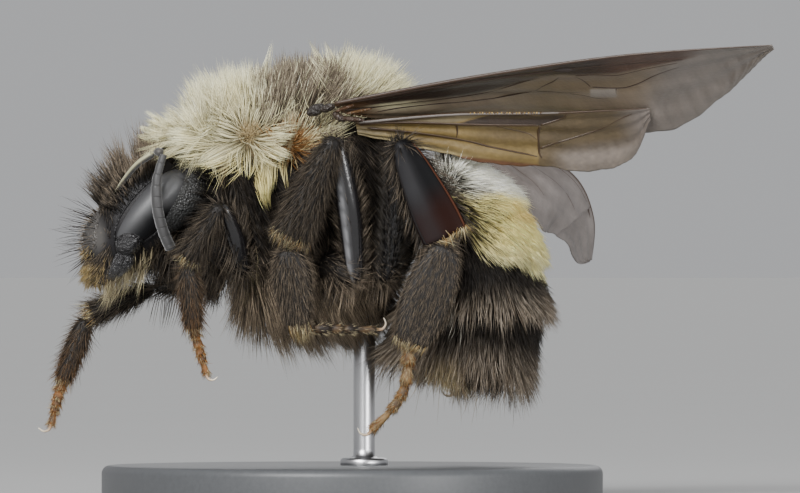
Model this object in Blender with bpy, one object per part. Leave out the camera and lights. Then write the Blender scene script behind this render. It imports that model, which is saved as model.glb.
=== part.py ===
"""A queen bumblebee as a still, life-size display model, held over a flat base by one short rod.

Frame: the head looks along -X, the bee's left side is -Y, up is +Z.  The origin is the centre of
the underside of the base.  Lengths below are in millimetres; MM turns them into metres.

The solids give the outline of the bee out to the tips of its coat.  Head, thorax and abdomen are
lofts between a dorsal and a ventral profile.  Legs, feelers and jaws are limbs swept along short
curves, and the wings are thin cambered plates.  Neighbours are parted by thin cuts.
"""
import math

import bmesh
import bpy
from mathutils import Vector

MM = 0.001
JOINT_GAP = 0.15            # the thin cut left between two neighbouring pieces
WING_THICKNESS = 0.5
WELD = 0.0005                # corners closer than this are one corner
LEFT, RIGHT = -1, 1         # sign of Y on each side of the bee

# ---- display stand ---------------------------------------------------------------------------
BASE_RADIUS = 10.5
BASE_HEIGHT = 1.5
BASE_BEVEL = 0.35
BASE_SIDES = 32
ROD_RADIUS = 0.45
ROD_X = 0.5
ROD_TOP = 9.6
ROD_SIDES = 12

# ---- body profiles: dorsal x, z, ventral x, z, half width, from front to back ------------------
HEAD_PROFILE = (
    (-8.00, 14.15, -7.50, 13.80, 1.00),
    (-8.95, 14.60, -6.80, 13.15, 2.05),
    (-10.00, 14.35, -6.35, 12.25, 2.60),
    (-10.85, 13.50, -6.75, 11.15, 2.80),
    (-11.30, 12.35, -7.60, 10.35, 2.75),
    (-11.45, 11.15, -8.50, 9.80, 2.35),
    (-11.35, 10.05, -9.40, 9.30, 1.80),
    (-10.85, 9.20, -10.20, 8.95, 0.90),
)
THORAX_PROFILE = (
    (-8.65, 15.30, -8.45, 14.95, 0.90),
    (-8.10, 16.10, -7.40, 14.35, 2.90),
    (-6.90, 17.00, -6.15, 13.10, 4.00),
    (-5.20, 17.75, -5.60, 10.10, 4.60),
    (-3.40, 18.35, -4.80, 8.00, 4.75),
    (-1.60, 18.70, -2.90, 7.10, 4.50),
    (0.20, 18.75, -0.30, 7.15, 4.20),
    (1.75, 18.30, 1.05, 8.15, 3.85),
    (2.60, 17.10, 1.85, 9.90, 3.20),
    (2.55, 15.50, 2.20, 12.00, 2.00),
    (2.50, 14.60, 2.40, 13.60, 0.80),
)
ABDOMEN_PROFILE = (
    (2.95, 13.60, 2.80, 12.70, 0.90),
    (3.35, 14.45, 2.78, 12.00, 2.60),
    (4.60, 14.65, 2.78, 11.50, 3.80),
    (6.10, 14.00, 2.76, 11.10, 4.45),
    (7.40, 12.60, 2.70, 10.65, 4.75),
    (8.15, 10.80, 2.55, 10.00, 4.85),
    (8.35, 8.90, 2.15, 8.90, 4.75),
    (8.10, 7.00, 1.40, 7.60, 4.40),
    (7.20, 5.25, 1.10, 6.40, 3.70),
    (5.70, 4.20, 1.70, 5.40, 2.70),
    (4.30, 4.05, 2.90, 4.50, 1.30),
)
COLLAR_END = 0.235          # where the thorax profile is cut, from 0 at the front to 1
SCUTELLUM_START = 0.60
SEGMENT_ENDS = (0.0, 0.20, 0.37, 0.52, 0.64, 0.79, 1.0)
SEGMENT_FLARE = 0.045       # how far the rear edge of each abdomen segment stands out
TEGULA_CENTRE = (-1.20, 3.95, 16.35)
TEGULA_RADII = (0.75, 0.42, 0.50)
TEGULA_LEAN = -15
BODY_SIDES = 20
BODY_SQUARENESS = 0.88      # below 1 the cross-sections are fuller than an ellipse

# ---- head parts ------------------------------------------------------------------------------
EYE_CENTRE = (-8.38, 2.08, 12.25)
EYE_RADII = (0.82, 0.80, 2.08)
EYE_LEAN = 42.0             # degrees from upright, the lower end forward
CLYPEUS_CENTRE = (-10.75, 0.0, 11.20)
CLYPEUS_RADII = (0.62, 1.30, 1.15)
LABRUM_CENTRE = (-10.72, 0.0, 9.75)
LABRUM_RADII = (0.45, 0.95, 0.50)
FACE_LEAN = 12.0
FEELER_SIDES = 6
FEELER_RADIUS = 0.26
FLAGELLUM_RINGS = 10
FLAGELLUM_BEADS = 10

# ---- wings: leading edge from root to tip, directions to the trailing edge, chord widths -------
WING_STATIONS = 11
WING_ROWS = 3
WING_CAMBER = 0.22
FOREWING_CHORD = (0.75, 1.5, 2.3, 3.1, 3.8, 4.5, 5.1, 5.5, 5.6, 4.9, 3.5, 1.7, 0.4)
HINDWING_CHORD = (0.7, 1.0, 1.3, 1.7, 2.0, 2.3, 2.5, 2.6, 2.8, 3.1, 3.1, 2.4, 0.7)
LOOSE_HINDWING_CHORD = (0.8, 1.1, 1.5, 2.0, 2.4, 2.8, 3.1, 3.3, 3.4, 3.2, 2.4, 1.3, 0.6)
WINGS = {
    "forewing_left": {
        "lead": ((-0.75, -4.35, 16.60), (5.20, -6.15, 17.70), (11.30, -7.90, 18.55), (17.30, -9.60, 18.95)),
        "trail": ((0.21, 0.89, -0.40), (0.23, 0.92, -0.32), (0.16, 0.81, -0.57), (0.20, 0.89, -0.42)),
        "chord": FOREWING_CHORD},
    "hindwing_left": {
        "lead": ((0.15, -3.75, 15.80), (4.20, -4.15, 16.15), (8.30, -4.45, 16.20), (12.35, -4.75, 16.40)),
        "trail": ((0.13, 0.74, -0.66), (0.03, 0.49, -0.87), (0.06, 0.58, -0.81), (0.10, 0.67, -0.74)),
        "chord": HINDWING_CHORD},
    "forewing_right": {
        "lead": ((-0.75, 4.35, 16.60), (4.80, 7.20, 17.35), (10.40, 9.90, 18.00), (15.80, 12.50, 18.30)),
        "trail": ((0.40, -0.84, -0.36), (0.40, -0.84, -0.30), (0.38, -0.86, -0.34), (0.40, -0.84, -0.30)),
        "chord": FOREWING_CHORD},
    "hindwing_right": {
        "lead": ((0.35, 3.85, 15.35), (3.40, 4.90, 15.45), (6.40, 6.00, 14.90), (8.90, 7.00, 13.50),
                 (10.00, 7.80, 11.80), (9.85, 8.40, 10.20)),
        "trail": ((0.35, -0.85, -0.40), (0.15, -0.90, -0.35), (-0.15, -0.90, -0.35), (-0.38, -0.88, -0.25)),
        "chord": LOOSE_HINDWING_CHORD},
}

# ---- colours ---------------------------------------------------------------------------------
CREAM = (0.80, 0.76, 0.58)
YELLOW = (0.78, 0.68, 0.34)
BLACK_COAT = (0.030, 0.025, 0.020)
BLACK_SHELL = (0.015, 0.014, 0.014)
BROWN_SHELL = (0.22, 0.11, 0.04)
FEELER_GREY = (0.07, 0.07, 0.075)
WING_SMOKE = (0.25, 0.19, 0.12)
STAND_PAINT = (0.035, 0.035, 0.038)
STAND_STEEL = (0.55, 0.56, 0.58)


def clear_scene():
    for item in list(bpy.data.objects):
        bpy.data.objects.remove(item, do_unlink=True)


def make_material(name, colour, roughness, metallic=0.0):
    material = bpy.data.materials.new(name)
    material.use_nodes = True
    shader = material.node_tree.nodes["Principled BSDF"]
    shader.inputs["Base Color"].default_value = (*colour, 1.0)
    shader.inputs["Roughness"].default_value = roughness
    shader.inputs["Metallic"].default_value = metallic
    return material


def along(values, place):
    """Value at place, 0 to 1, on a smooth curve through evenly spaced numbers or vectors."""
    last = len(values) - 1
    scaled = min(max(place, 0.0), 1.0) * last
    index = min(int(scaled), last - 1)
    t = scaled - index
    before = values[max(index - 1, 0)]
    start = values[index]
    end = values[index + 1]
    after = values[min(index + 2, last)]
    return (start * 2.0
            + (end - before) * t
            + (before * 2.0 - start * 5.0 + end * 4.0 - after) * t * t
            + (start * 3.0 - before - end * 3.0 + after) * t * t * t) * 0.5


def vectors(points):
    return [Vector(point) for point in points]


def link_mesh(name, work, material):
    """Turn a bmesh in millimetres into an object in metres, smooth where it is round."""
    bmesh.ops.recalc_face_normals(work, faces=work.faces)
    bmesh.ops.triangulate(work, faces=work.faces)
    bmesh.ops.scale(work, vec=(MM, MM, MM), verts=work.verts)
    mesh = bpy.data.meshes.new(name)
    work.to_mesh(mesh)
    work.free()
    mesh.shade_smooth()
    mesh.set_sharp_from_angle(angle=math.radians(40))
    mesh.materials.append(material)
    item = bpy.data.objects.new(name, mesh)
    bpy.context.scene.collection.objects.link(item)
    return item


def solid_from_rings(name, rings, material):
    """A closed body through rings of equal length; both ends are closed by flat fans."""
    work = bmesh.new()
    rows = [[work.verts.new(point) for point in ring] for ring in rings]
    sides = len(rows[0])
    for lower, upper in zip(rows, rows[1:]):
        for i in range(sides):
            j = (i + 1) % sides
            work.faces.new((lower[i], lower[j], upper[j], upper[i]))
    for row in (rows[0], rows[-1]):
        middle = sum((vert.co for vert in row), Vector()) / sides
        pole = work.verts.new(middle)
        for i in range(sides):
            work.faces.new((row[i], row[(i + 1) % sides], pole))
    return link_mesh(name, work, material)


# ---- trunk: lofts between a dorsal and a ventral profile -----------------------------------------
def trunk_ring(profile, place, swell=1.0):
    """One cross-section of the trunk, in the plane of the dorsal point, the ventral point and Y."""
    columns = list(zip(*profile))
    top_x, top_z, low_x, low_z, half_width = (along(column, place) for column in columns)
    centre = Vector(((top_x + low_x) / 2, 0, (top_z + low_z) / 2))
    rise = Vector((top_x - low_x, 0, top_z - low_z)) * (swell / 2)
    ring = []
    for i in range(BODY_SIDES):
        angle = 2 * math.pi * i / BODY_SIDES
        up = math.copysign(abs(math.cos(angle)) ** BODY_SQUARENESS, math.cos(angle))
        side = math.copysign(abs(math.sin(angle)) ** BODY_SQUARENESS, math.sin(angle))
        ring.append(centre + rise * up + Vector((0, half_width * swell * side, 0)))
    return ring


def trunk_piece(name, profile, start, end, rings, material, flare=0.0):
    """The stretch of a trunk profile from start to end, flaring towards its rear edge."""
    places = [start + (end - start) * i / (rings - 1) for i in range(rings)]
    swells = [1.0 - flare * (1.0 - i / (rings - 1)) for i in range(rings)]
    loops = [trunk_ring(profile, place, swell) for place, swell in zip(places, swells)]
    return solid_from_rings(name, loops, material)


def profile_length(profile):
    """Rough length of the profile's middle line, to turn a gap into a share of it."""
    middles = [Vector(((row[0] + row[2]) / 2, 0, (row[1] + row[3]) / 2)) for row in profile]
    return sum((b - a).length for a, b in zip(middles, middles[1:]))


# ---- limbs: oval sections swept along a curve ------------------------------------------------------
def limb(name, path, widths, depths, material, flat_axis=(0, 1, 0), sides=8, rings=7, tips=(0.65, 0.65)):
    """A closed limb; widths lie across the path in its broad plane, depths lie along flat_axis."""
    points = vectors(path)
    loops = []
    step = 0.01
    for i in range(rings):
        place = i / (rings - 1)
        centre = along(points, place)
        tangent = (along(points, min(place + step, 1)) - along(points, max(place - step, 0))).normalized()
        thin = Vector(flat_axis)
        thin = (thin - tangent * thin.dot(tangent)).normalized()
        broad = tangent.cross(thin)
        half_width = along(widths, place) / 2
        half_depth = along(depths, place) / 2
        if i == 0:
            half_width, half_depth = half_width * tips[0], half_depth * tips[0]
        if i == rings - 1:
            half_width, half_depth = half_width * tips[1], half_depth * tips[1]
        turns = [2 * math.pi * k / sides for k in range(sides)]
        loops.append([centre + broad * (half_width * math.cos(a)) + thin * (half_depth * math.sin(a))
                      for a in turns])
    return solid_from_rings(name, loops, material)


def ellipsoid(name, centre, radii, lean, material, segments=10, rings=7):
    """An ellipsoid leaning about the Y axis by lean degrees."""
    work = bmesh.new()
    bmesh.ops.create_uvsphere(work, u_segments=segments, v_segments=rings, radius=1.0)
    tilt = math.radians(lean)
    for vert in work.verts:
        local = Vector([vert.co[k] * radii[k] for k in range(3)])
        x = local.x * math.cos(tilt) + local.z * math.sin(tilt)
        z = local.z * math.cos(tilt) - local.x * math.sin(tilt)
        vert.co = Vector((x, local.y, z)) + Vector(centre)
    return link_mesh(name, work, material)


# ---- parting pieces ----------------------------------------------------------------------------
def apply_boolean(target, tool, operation):
    modifier = target.modifiers.new("cut", "BOOLEAN")
    modifier.operation = operation
    modifier.solver = "EXACT"
    modifier.object = tool
    graph = bpy.context.evaluated_depsgraph_get()
    mesh = bpy.data.meshes.new_from_object(target.evaluated_get(graph))
    target.modifiers.remove(modifier)
    work = bmesh.new()
    work.from_mesh(mesh)
    bmesh.ops.remove_doubles(work, verts=work.verts, dist=WELD * MM)
    bmesh.ops.dissolve_degenerate(work, edges=work.edges, dist=WELD * MM)
    bmesh.ops.triangulate(work, faces=work.faces)
    work.to_mesh(mesh)
    work.free()
    target.data = mesh


def carve(target, neighbour, gap=JOINT_GAP):
    """Cut from target the room that its neighbour takes, with a thin gap all round it."""
    tool = neighbour.copy()
    tool.data = neighbour.data.copy()
    bpy.context.scene.collection.objects.link(tool)
    for vert in tool.data.vertices:
        vert.co += vert.normal * (gap * MM)
    apply_boolean(target, tool, "DIFFERENCE")
    bpy.data.objects.remove(tool, do_unlink=True)


def absorb(target, addition):
    """Make addition part of target's own body."""
    apply_boolean(target, addition, "UNION")
    bpy.data.objects.remove(addition, do_unlink=True)


def side_name(side):
    return "left" if side == LEFT else "right"


# ---- the sub-parts -----------------------------------------------------------------------------
def build_head(paints):
    head = trunk_piece("head", HEAD_PROFILE, 0.0, 1.0, 9, paints["black_coat"])
    parts = {"head": head}
    parts["clypeus"] = ellipsoid("clypeus", CLYPEUS_CENTRE, CLYPEUS_RADII, FACE_LEAN, paints["shell"], 8, 6)
    parts["labrum"] = ellipsoid("labrum", LABRUM_CENTRE, LABRUM_RADII, FACE_LEAN, paints["shell"], 8, 5)
    for side in (LEFT, RIGHT):
        tag = side_name(side)
        centre = (EYE_CENTRE[0], EYE_CENTRE[1] * side, EYE_CENTRE[2])
        parts["eye_" + tag] = ellipsoid("eye_" + tag, centre, EYE_RADII, EYE_LEAN, paints["shell"])
        jaw_path = [(-9.50, 1.75 * side, 10.55), (-9.95, 1.72 * side, 9.85),
                    (-10.30, 1.25 * side, 9.25), (-10.55, 0.45 * side, 8.95)]
        parts["mandible_" + tag] = limb("mandible_" + tag, jaw_path, [1.05, 1.0, 0.8, 0.5],
                                        [0.85, 0.75, 0.6, 0.5], paints["shell"], sides=6, rings=4)
        scape_path = [(-9.95, 1.05 * side, 12.75), (-9.50, 1.80 * side, 13.45),
                      (-8.90, 2.55 * side, 14.10), (-8.15, 3.05 * side, 14.60)]
        flagellum_path = [(-7.82, 3.35 * side, 14.45), (-8.12, 3.42 * side, 13.45),
                          (-8.10, 3.42 * side, 12.30), (-7.86, 3.36 * side, 11.30),
                          (-7.52, 3.30 * side, 10.50)]
        scape_depth = [FEELER_RADIUS * 1.9, FEELER_RADIUS * 2.0, FEELER_RADIUS * 2.2]
        parts["scape_" + tag] = limb("scape_" + tag, scape_path, scape_depth, scape_depth,
                                     paints["feeler"], sides=FEELER_SIDES, rings=5)
        beads = [FEELER_RADIUS * (2.1 if i % 2 else 1.95) for i in range(2 * FLAGELLUM_BEADS)]
        parts["flagellum_" + tag] = limb("flagellum_" + tag, flagellum_path, beads, beads, paints["feeler"],
                                         sides=FEELER_SIDES, rings=FLAGELLUM_RINGS)
    return parts


def build_thorax(paints):
    half_cut = JOINT_GAP / 2 / profile_length(THORAX_PROFILE)
    parts = {}
    parts["collar"] = trunk_piece("collar", THORAX_PROFILE, 0.0, COLLAR_END - half_cut, 5, paints["cream"])
    parts["thorax"] = trunk_piece("thorax", THORAX_PROFILE, COLLAR_END + half_cut,
                                  SCUTELLUM_START - half_cut, 6, paints["black_coat"])
    parts["scutellum"] = trunk_piece("scutellum", THORAX_PROFILE, SCUTELLUM_START + half_cut, 1.0, 6,
                                     paints["cream"])
    for side in (LEFT, RIGHT):
        name = "tegula_" + side_name(side)
        centre = (TEGULA_CENTRE[0], TEGULA_CENTRE[1] * side, TEGULA_CENTRE[2])
        parts[name] = ellipsoid(name, centre, TEGULA_RADII, TEGULA_LEAN, paints["shell"], 10, 6)
    return parts


def build_abdomen(paints):
    half_cut = JOINT_GAP / 2 / profile_length(ABDOMEN_PROFILE)
    parts = {}
    for i, (start, end) in enumerate(zip(SEGMENT_ENDS, SEGMENT_ENDS[1:])):
        name = "abdomen_%d" % (i + 1)
        first = start + (half_cut if i else 0.0)
        last = end - (half_cut if end < 1.0 else 0.0)
        paint = paints["yellow"] if name in ("abdomen_2", "abdomen_3") else paints["black_coat"]
        rings = 5 if i in (0, 5) else 4
        parts[name] = trunk_piece(name, ABDOMEN_PROFILE, first, last, rings, paint, SEGMENT_FLARE)
    return parts


def wing_section(plan, place):
    """Edge points of one cross-section of a wing: along its upper face, then back along the lower."""
    lead, trail = vectors(plan["lead"]), vectors(plan["trail"])
    step = 0.01
    span = (along(lead, min(place + step, 1)) - along(lead, max(place - step, 0))).normalized()
    rearward = along(trail, place)
    rearward = (rearward - span * rearward.dot(span)).normalized()
    lift = span.cross(rearward) if span.cross(rearward).z > 0 else rearward.cross(span)
    chord = along(plan["chord"], place)
    upper, lower = [], []
    for k in range(WING_ROWS):
        share = k / (WING_ROWS - 1)
        camber = WING_CAMBER * chord / 4 * math.sin(math.pi * share)
        point = along(lead, place) + rearward * (chord * share) + lift * camber
        upper.append(point + lift * (WING_THICKNESS / 2))
        lower.append(point - lift * (WING_THICKNESS / 2))
    return upper + lower[::-1]


def build_wing(name, plan, material):
    """A thin cambered plate through its cross-sections."""
    work = bmesh.new()
    places = [i / (WING_STATIONS - 1) for i in range(WING_STATIONS)]
    rows = [[work.verts.new(point) for point in wing_section(plan, place)] for place in places]
    count = 2 * WING_ROWS
    for one, two in zip(rows, rows[1:]):
        for k in range(count):
            m = (k + 1) % count
            work.faces.new((one[k], one[m], two[m], two[k]))
    for row in (rows[0], rows[-1]):
        for k in range(WING_ROWS - 1):
            work.faces.new((row[k], row[k + 1], row[count - 2 - k], row[count - 1 - k]))
    return link_mesh(name, work, material)


FORE_COXA_SCALE = 1.3
# Widths and then depths along each joint, from its near end to its far end.
TIBIA_SHAPES = {
    "fore": ([0.62, 0.85, 1.0, 1.05], [0.58, 0.72, 0.8, 0.75]),
    "mid": ([0.85, 1.4, 1.8, 1.9], [0.75, 0.95, 1.0, 0.85]),
    "hind": ([0.75, 1.35, 1.75, 2.0, 2.05], [0.62, 0.66, 0.66, 0.62, 0.58]),
}
BASITARSUS_SHAPES = {
    "fore": ([0.8, 1.15, 1.1, 0.8], [0.7, 0.9, 0.85, 0.7]),
    "mid": ([1.2, 1.9, 1.75, 1.1], [0.8, 1.0, 0.95, 0.75]),
    "hind": ([1.3, 2.25, 2.3, 1.6], [0.6, 0.75, 0.75, 0.62]),
}
TARSUS_BEADS = (0.52, 0.70, 0.52, 0.68, 0.52, 0.66, 0.52, 0.62)

# Each leg is a row of named joints from the body out, on the left as x, y, z with y outward.
LEGS = {
    "fore_left": {"side": LEFT, "hip": (-5.70, 2.2, 10.60), "trochanter": (-4.50, 3.55, 9.65),
                  "knee": (-5.40, 4.95, 12.45), "ankle": (-6.85, 5.00, 10.00),
                  "heel": (-6.55, 4.70, 7.15), "toe": (-6.05, 4.55, 5.35), "size": 0.85},
    "fore_right": {"side": RIGHT, "hip": (-5.55, 2.3, 10.5), "trochanter": (-5.85, 2.9, 9.45),
                   "knee": (-8.35, 3.5, 8.95), "ankle": (-11.15, 3.5, 7.75),
                   "heel": (-12.25, 3.3, 4.90), "toe": (-12.70, 3.2, 3.15), "size": 0.95},
    "mid_left": {"side": LEFT, "hip": (-1.05, 2.9, 10.0), "trochanter": (0.15, 4.0, 9.35),
                 "knee": (-0.65, 5.25, 15.30), "ankle": (-2.65, 5.45, 10.75),
                 "heel": (-2.20, 5.10, 7.25), "toe": (1.05, 4.7, 7.20), "size": 1.15},
    "mid_right": {"side": RIGHT, "hip": (-1.05, 2.9, 10.0), "trochanter": (0.15, 4.0, 9.35),
                  "knee": (-0.65, 5.25, 15.10), "ankle": (-2.35, 5.55, 10.95),
                  "heel": (-1.70, 5.30, 7.60), "toe": (1.10, 4.9, 8.05), "size": 1.15},
    "hind_left": {"side": LEFT, "hip": (0.95, 2.6, 10.0), "trochanter": (1.50, 3.75, 9.40),
                  "knee": (1.95, 5.15, 15.15), "ankle": (4.00, 5.75, 10.85),
                  "heel": (2.35, 5.55, 6.45), "arch": (2.10, 5.35, 4.55), "toe": (0.80, 5.1, 3.00),
                  "size": 1.0},
    "hind_right": {"side": RIGHT, "hip": (0.95, 2.6, 9.7), "trochanter": (1.35, 3.70, 8.90),
                   "knee": (3.10, 6.60, 12.40), "ankle": (4.90, 6.60, 8.40),
                   "heel": (5.20, 6.30, 5.60), "toe": (4.30, 5.9, 4.50), "size": 1.0},
}


def mirrored(point, side):
    return Vector((point[0], point[1] * side, point[2]))


def between(start, end, share, bow=(0, 0, 0)):
    return start.lerp(end, share) + Vector(bow)


def build_tarsus(name, heel, arch, toe, size, material):
    """The small foot joints as one beaded rod, with its pair of claws."""
    start = heel + (arch - heel).normalized() * (JOINT_GAP + 0.12)
    run = (toe - arch).normalized()
    widths = [bead * size for bead in TARSUS_BEADS]
    foot = limb(name, [start, arch, toe], widths, widths, material,
                sides=5, rings=8, tips=(0.8, 0.8))
    sideways = run.cross(Vector((0, 0, 1)))
    sideways = sideways.normalized() if sideways.length > 0.1 else Vector((1, 0, 0))
    for turn in (-1, 1):
        spread = Vector((0, 0.28 * turn, 0)) + sideways * 0.05 * turn
        root = toe - run * 0.20 + spread * 0.4
        claw_bend = root + run * 0.42 + spread * 0.6
        claw_path = [root, claw_bend, root + run * 0.62 + spread + Vector((0.30, 0, 0.10))]
        claw = limb(name + "_claw", claw_path, [0.36, 0.30, 0.20], [0.36, 0.30, 0.20], material,
                    sides=4, rings=3, tips=(0.8, 0.6))
        absorb(foot, claw)
    return foot


def build_leg(tag, leg, paints):
    """Coxa with trochanter, femur, tibia, basitarsus and tarsus; the hind tibia is a broad basket."""
    side, size = leg["side"], leg["size"]
    joints = {key: mirrored(leg[key], side) for key in ("hip", "trochanter", "knee", "ankle", "heel", "toe")}
    hip, trochanter, knee = joints["hip"], joints["trochanter"], joints["knee"]
    ankle, heel, toe = joints["ankle"], joints["heel"], joints["toe"]
    pair = tag.split("_")[0]
    shell = paints["shell"]
    parts = {}
    name = "coxa_" + tag
    coxa_size = size * (FORE_COXA_SCALE if pair == "fore" else 1.0)
    coxa_widths = [width * coxa_size for width in (1.3, 1.35, 0.85)]
    coxa_depths = [depth * coxa_size for depth in (1.2, 1.1, 0.8)]
    parts[name] = limb(name, [hip, between(hip, trochanter, 0.5, (0, 0.1 * side, 0)), trochanter],
                       coxa_widths, coxa_depths, shell, sides=6, rings=4)
    name = "femur_" + tag
    femur_start = between(trochanter, knee, 0.10)
    femur_end = between(trochanter, knee, 0.97)
    femur_middle = between(femur_start, femur_end, 0.5, (0.12, 0.12 * side, 0))
    femur_widths = [width * size for width in (0.70, 0.95, 0.70)]
    femur_depths = [depth * size for depth in (0.62, 0.80, 0.62)]
    parts[name] = limb(name, [femur_start, femur_middle, femur_end], femur_widths, femur_depths,
                       shell, sides=7, rings=6)
    name = "tibia_" + tag
    tibia_start = between(knee, ankle, 0.03, (0, 0.35 * side, 0.0))
    tibia_end = between(knee, ankle, 0.95)
    tibia_widths, tibia_depths = TIBIA_SHAPES[pair]
    parts[name] = limb(name, [tibia_start, between(tibia_start, tibia_end, 0.5), tibia_end], tibia_widths,
                       tibia_depths, shell, rings=5, sides=8)
    name = "basitarsus_" + tag
    run = (heel - ankle).normalized()
    metatarsus_start = ankle + run * (JOINT_GAP + 0.1)
    metatarsus_end = heel - run * 0.12
    widths, depths = BASITARSUS_SHAPES[pair]
    metatarsus_middle = between(metatarsus_start, metatarsus_end, 0.5)
    parts[name] = limb(name, [metatarsus_start, metatarsus_middle, metatarsus_end], widths, depths,
                       shell, rings=5, sides=8)
    name = "tarsus_" + tag
    arch = mirrored(leg["arch"], side) if "arch" in leg else between(heel, toe, 0.5)
    parts[name] = build_tarsus(name, heel, arch, toe, min(size, 1.0), paints["brown"])
    return parts


def build_stand(paints):
    work = bmesh.new()
    bmesh.ops.create_cone(work, cap_ends=True, segments=BASE_SIDES, radius1=BASE_RADIUS,
                          radius2=BASE_RADIUS, depth=BASE_HEIGHT)
    bmesh.ops.translate(work, vec=(0, 0, BASE_HEIGHT / 2), verts=work.verts)
    rims = [edge for edge in work.edges if abs(edge.verts[0].co.z - edge.verts[1].co.z) < 1e-6]
    bmesh.ops.bevel(work, geom=rims, offset=BASE_BEVEL, segments=1, affect="EDGES", profile=0.5)
    base = link_mesh("stand_base", work, paints["stand"])
    work = bmesh.new()
    low = BASE_HEIGHT + JOINT_GAP
    bmesh.ops.create_cone(work, cap_ends=True, segments=ROD_SIDES, radius1=ROD_RADIUS,
                          radius2=ROD_RADIUS, depth=ROD_TOP - low)
    bmesh.ops.translate(work, vec=(ROD_X, 0, (ROD_TOP + low) / 2), verts=work.verts)
    rod = link_mesh("stand_rod", work, paints["steel"])
    return {"stand_base": base, "stand_rod": rod}


def part_neighbours(parts):
    """Cut each piece back from the neighbours that lie in it or press against it.

    A piece cuts its larger neighbours while it is still whole, and is cut back itself after that.
    """
    for feature in ("eye_left", "eye_right", "clypeus", "labrum", "mandible_left", "mandible_right",
                    "scape_left", "scape_right"):
        carve(parts["head"], parts[feature])
    carve(parts["clypeus"], parts["labrum"])
    for trunk in ("thorax", "scutellum"):
        carve(parts[trunk], parts["stand_rod"])
        for piece in ("coxa_", "femur_", "tibia_"):
            for tag in LEGS:
                carve(parts[trunk], parts[piece + tag])
        for piece in ("tegula_", "forewing_", "hindwing_"):
            for side in ("left", "right"):
                carve(parts[trunk], parts[piece + side])
    for segment in ("abdomen_1", "abdomen_2"):
        carve(parts[segment], parts["hindwing_left"])
    for side in ("left", "right"):
        carve(parts["hindwing_" + side], parts["forewing_" + side])
        carve(parts["forewing_" + side], parts["tegula_" + side])
    for tag in LEGS:
        carve(parts["femur_" + tag], parts["coxa_" + tag])
        carve(parts["femur_" + tag], parts["tibia_" + tag])
        carve(parts["tarsus_" + tag], parts["basitarsus_" + tag])


def main():
    clear_scene()
    paints = {
        "cream": make_material("coat_cream", CREAM, 0.8),
        "yellow": make_material("coat_yellow", YELLOW, 0.8),
        "black_coat": make_material("coat_black", BLACK_COAT, 0.75),
        "shell": make_material("shell_black", BLACK_SHELL, 0.3),
        "brown": make_material("shell_brown", BROWN_SHELL, 0.45),
        "feeler": make_material("feeler_grey", FEELER_GREY, 0.5),
        "wing": make_material("wing_membrane", WING_SMOKE, 0.3),
        "stand": make_material("stand_paint", STAND_PAINT, 0.4),
        "steel": make_material("stand_steel", STAND_STEEL, 0.3, 1.0),
    }
    parts = build_stand(paints)
    parts.update(build_head(paints))
    parts.update(build_thorax(paints))
    parts.update(build_abdomen(paints))
    for name, plan in WINGS.items():
        parts[name] = build_wing(name, plan, paints["wing"])
    for tag, leg in LEGS.items():
        parts.update(build_leg(tag, leg, paints))
    part_neighbours(parts)


main()
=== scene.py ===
"""The looks of a life-size bumblebee on a display stand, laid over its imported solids.

Lengths in the tables below are in millimetres in the row frame: the head looks along -X, the bee's
left side is -Y, up is +Z.  The coat is solid tapered strands rooted on the skins of each body part.
"""

import math

import bpy
import numpy as np
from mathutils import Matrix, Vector


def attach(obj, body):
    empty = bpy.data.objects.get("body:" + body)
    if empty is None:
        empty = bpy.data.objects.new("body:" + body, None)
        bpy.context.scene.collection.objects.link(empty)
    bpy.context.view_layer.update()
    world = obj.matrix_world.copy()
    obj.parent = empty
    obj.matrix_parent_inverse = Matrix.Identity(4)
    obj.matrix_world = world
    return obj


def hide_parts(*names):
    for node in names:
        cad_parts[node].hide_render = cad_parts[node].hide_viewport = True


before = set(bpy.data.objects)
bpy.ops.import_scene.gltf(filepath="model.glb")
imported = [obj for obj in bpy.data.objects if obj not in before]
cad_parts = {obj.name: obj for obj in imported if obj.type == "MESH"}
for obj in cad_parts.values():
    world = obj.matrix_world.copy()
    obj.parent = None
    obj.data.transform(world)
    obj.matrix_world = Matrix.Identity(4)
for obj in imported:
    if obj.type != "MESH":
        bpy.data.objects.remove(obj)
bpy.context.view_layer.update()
MM = 0.001
RNG = np.random.default_rng(11)
TAU = 2 * math.pi
LEFT, RIGHT = -1, 1
SIDES = ((LEFT, "left"), (RIGHT, "right"))
PIECE_TRIANGLES = 185000
HEADING_STEP = 0.01
UP = np.array([0.0, 0.0, 1.0])


# ---- small numeric helpers ----
def along(values, place):
    """Values at places 0 to 1 on a smooth curve through evenly spaced rows."""
    rows = np.asarray(values, float)
    flat = rows.ndim == 1
    rows = rows[:, None] if flat else rows
    last = len(rows) - 1
    scaled = np.clip(np.atleast_1d(np.asarray(place, float)), 0, 1) * last
    i = np.minimum(scaled.astype(int), last - 1)
    t = (scaled - i)[:, None]
    a, b, c, d = rows[np.maximum(i - 1, 0)], rows[i], rows[i + 1], rows[np.minimum(i + 2, last)]
    out = 0.5 * (2 * b + (c - a) * t + (2 * a - 5 * b + 4 * c - d) * t ** 2
                 + (3 * b - a - 3 * c + d) * t ** 3)
    return out[:, 0] if flat else out


def heading(values, place):
    """Unit directions of the curve that along() draws, at places 0 to 1."""
    ahead, behind = np.minimum(place + HEADING_STEP, 1), np.maximum(place - HEADING_STEP, 0)
    return unit(along(values, ahead) - along(values, behind))


def unit(v):
    return v / np.maximum(np.linalg.norm(v, axis=-1, keepdims=True), 1e-9)


def smooth(low, high, x):
    t = np.clip((np.asarray(x, float) - low) / (high - low), 0, 1)
    return t * t * (3 - 2 * t)


def mix(a, b, share):
    share = np.asarray(share, float)[..., None]
    return np.asarray(a, float) * (1 - share) + np.asarray(b, float) * share


def column(v):
    return np.asarray(v, float)[:, None]


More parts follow.
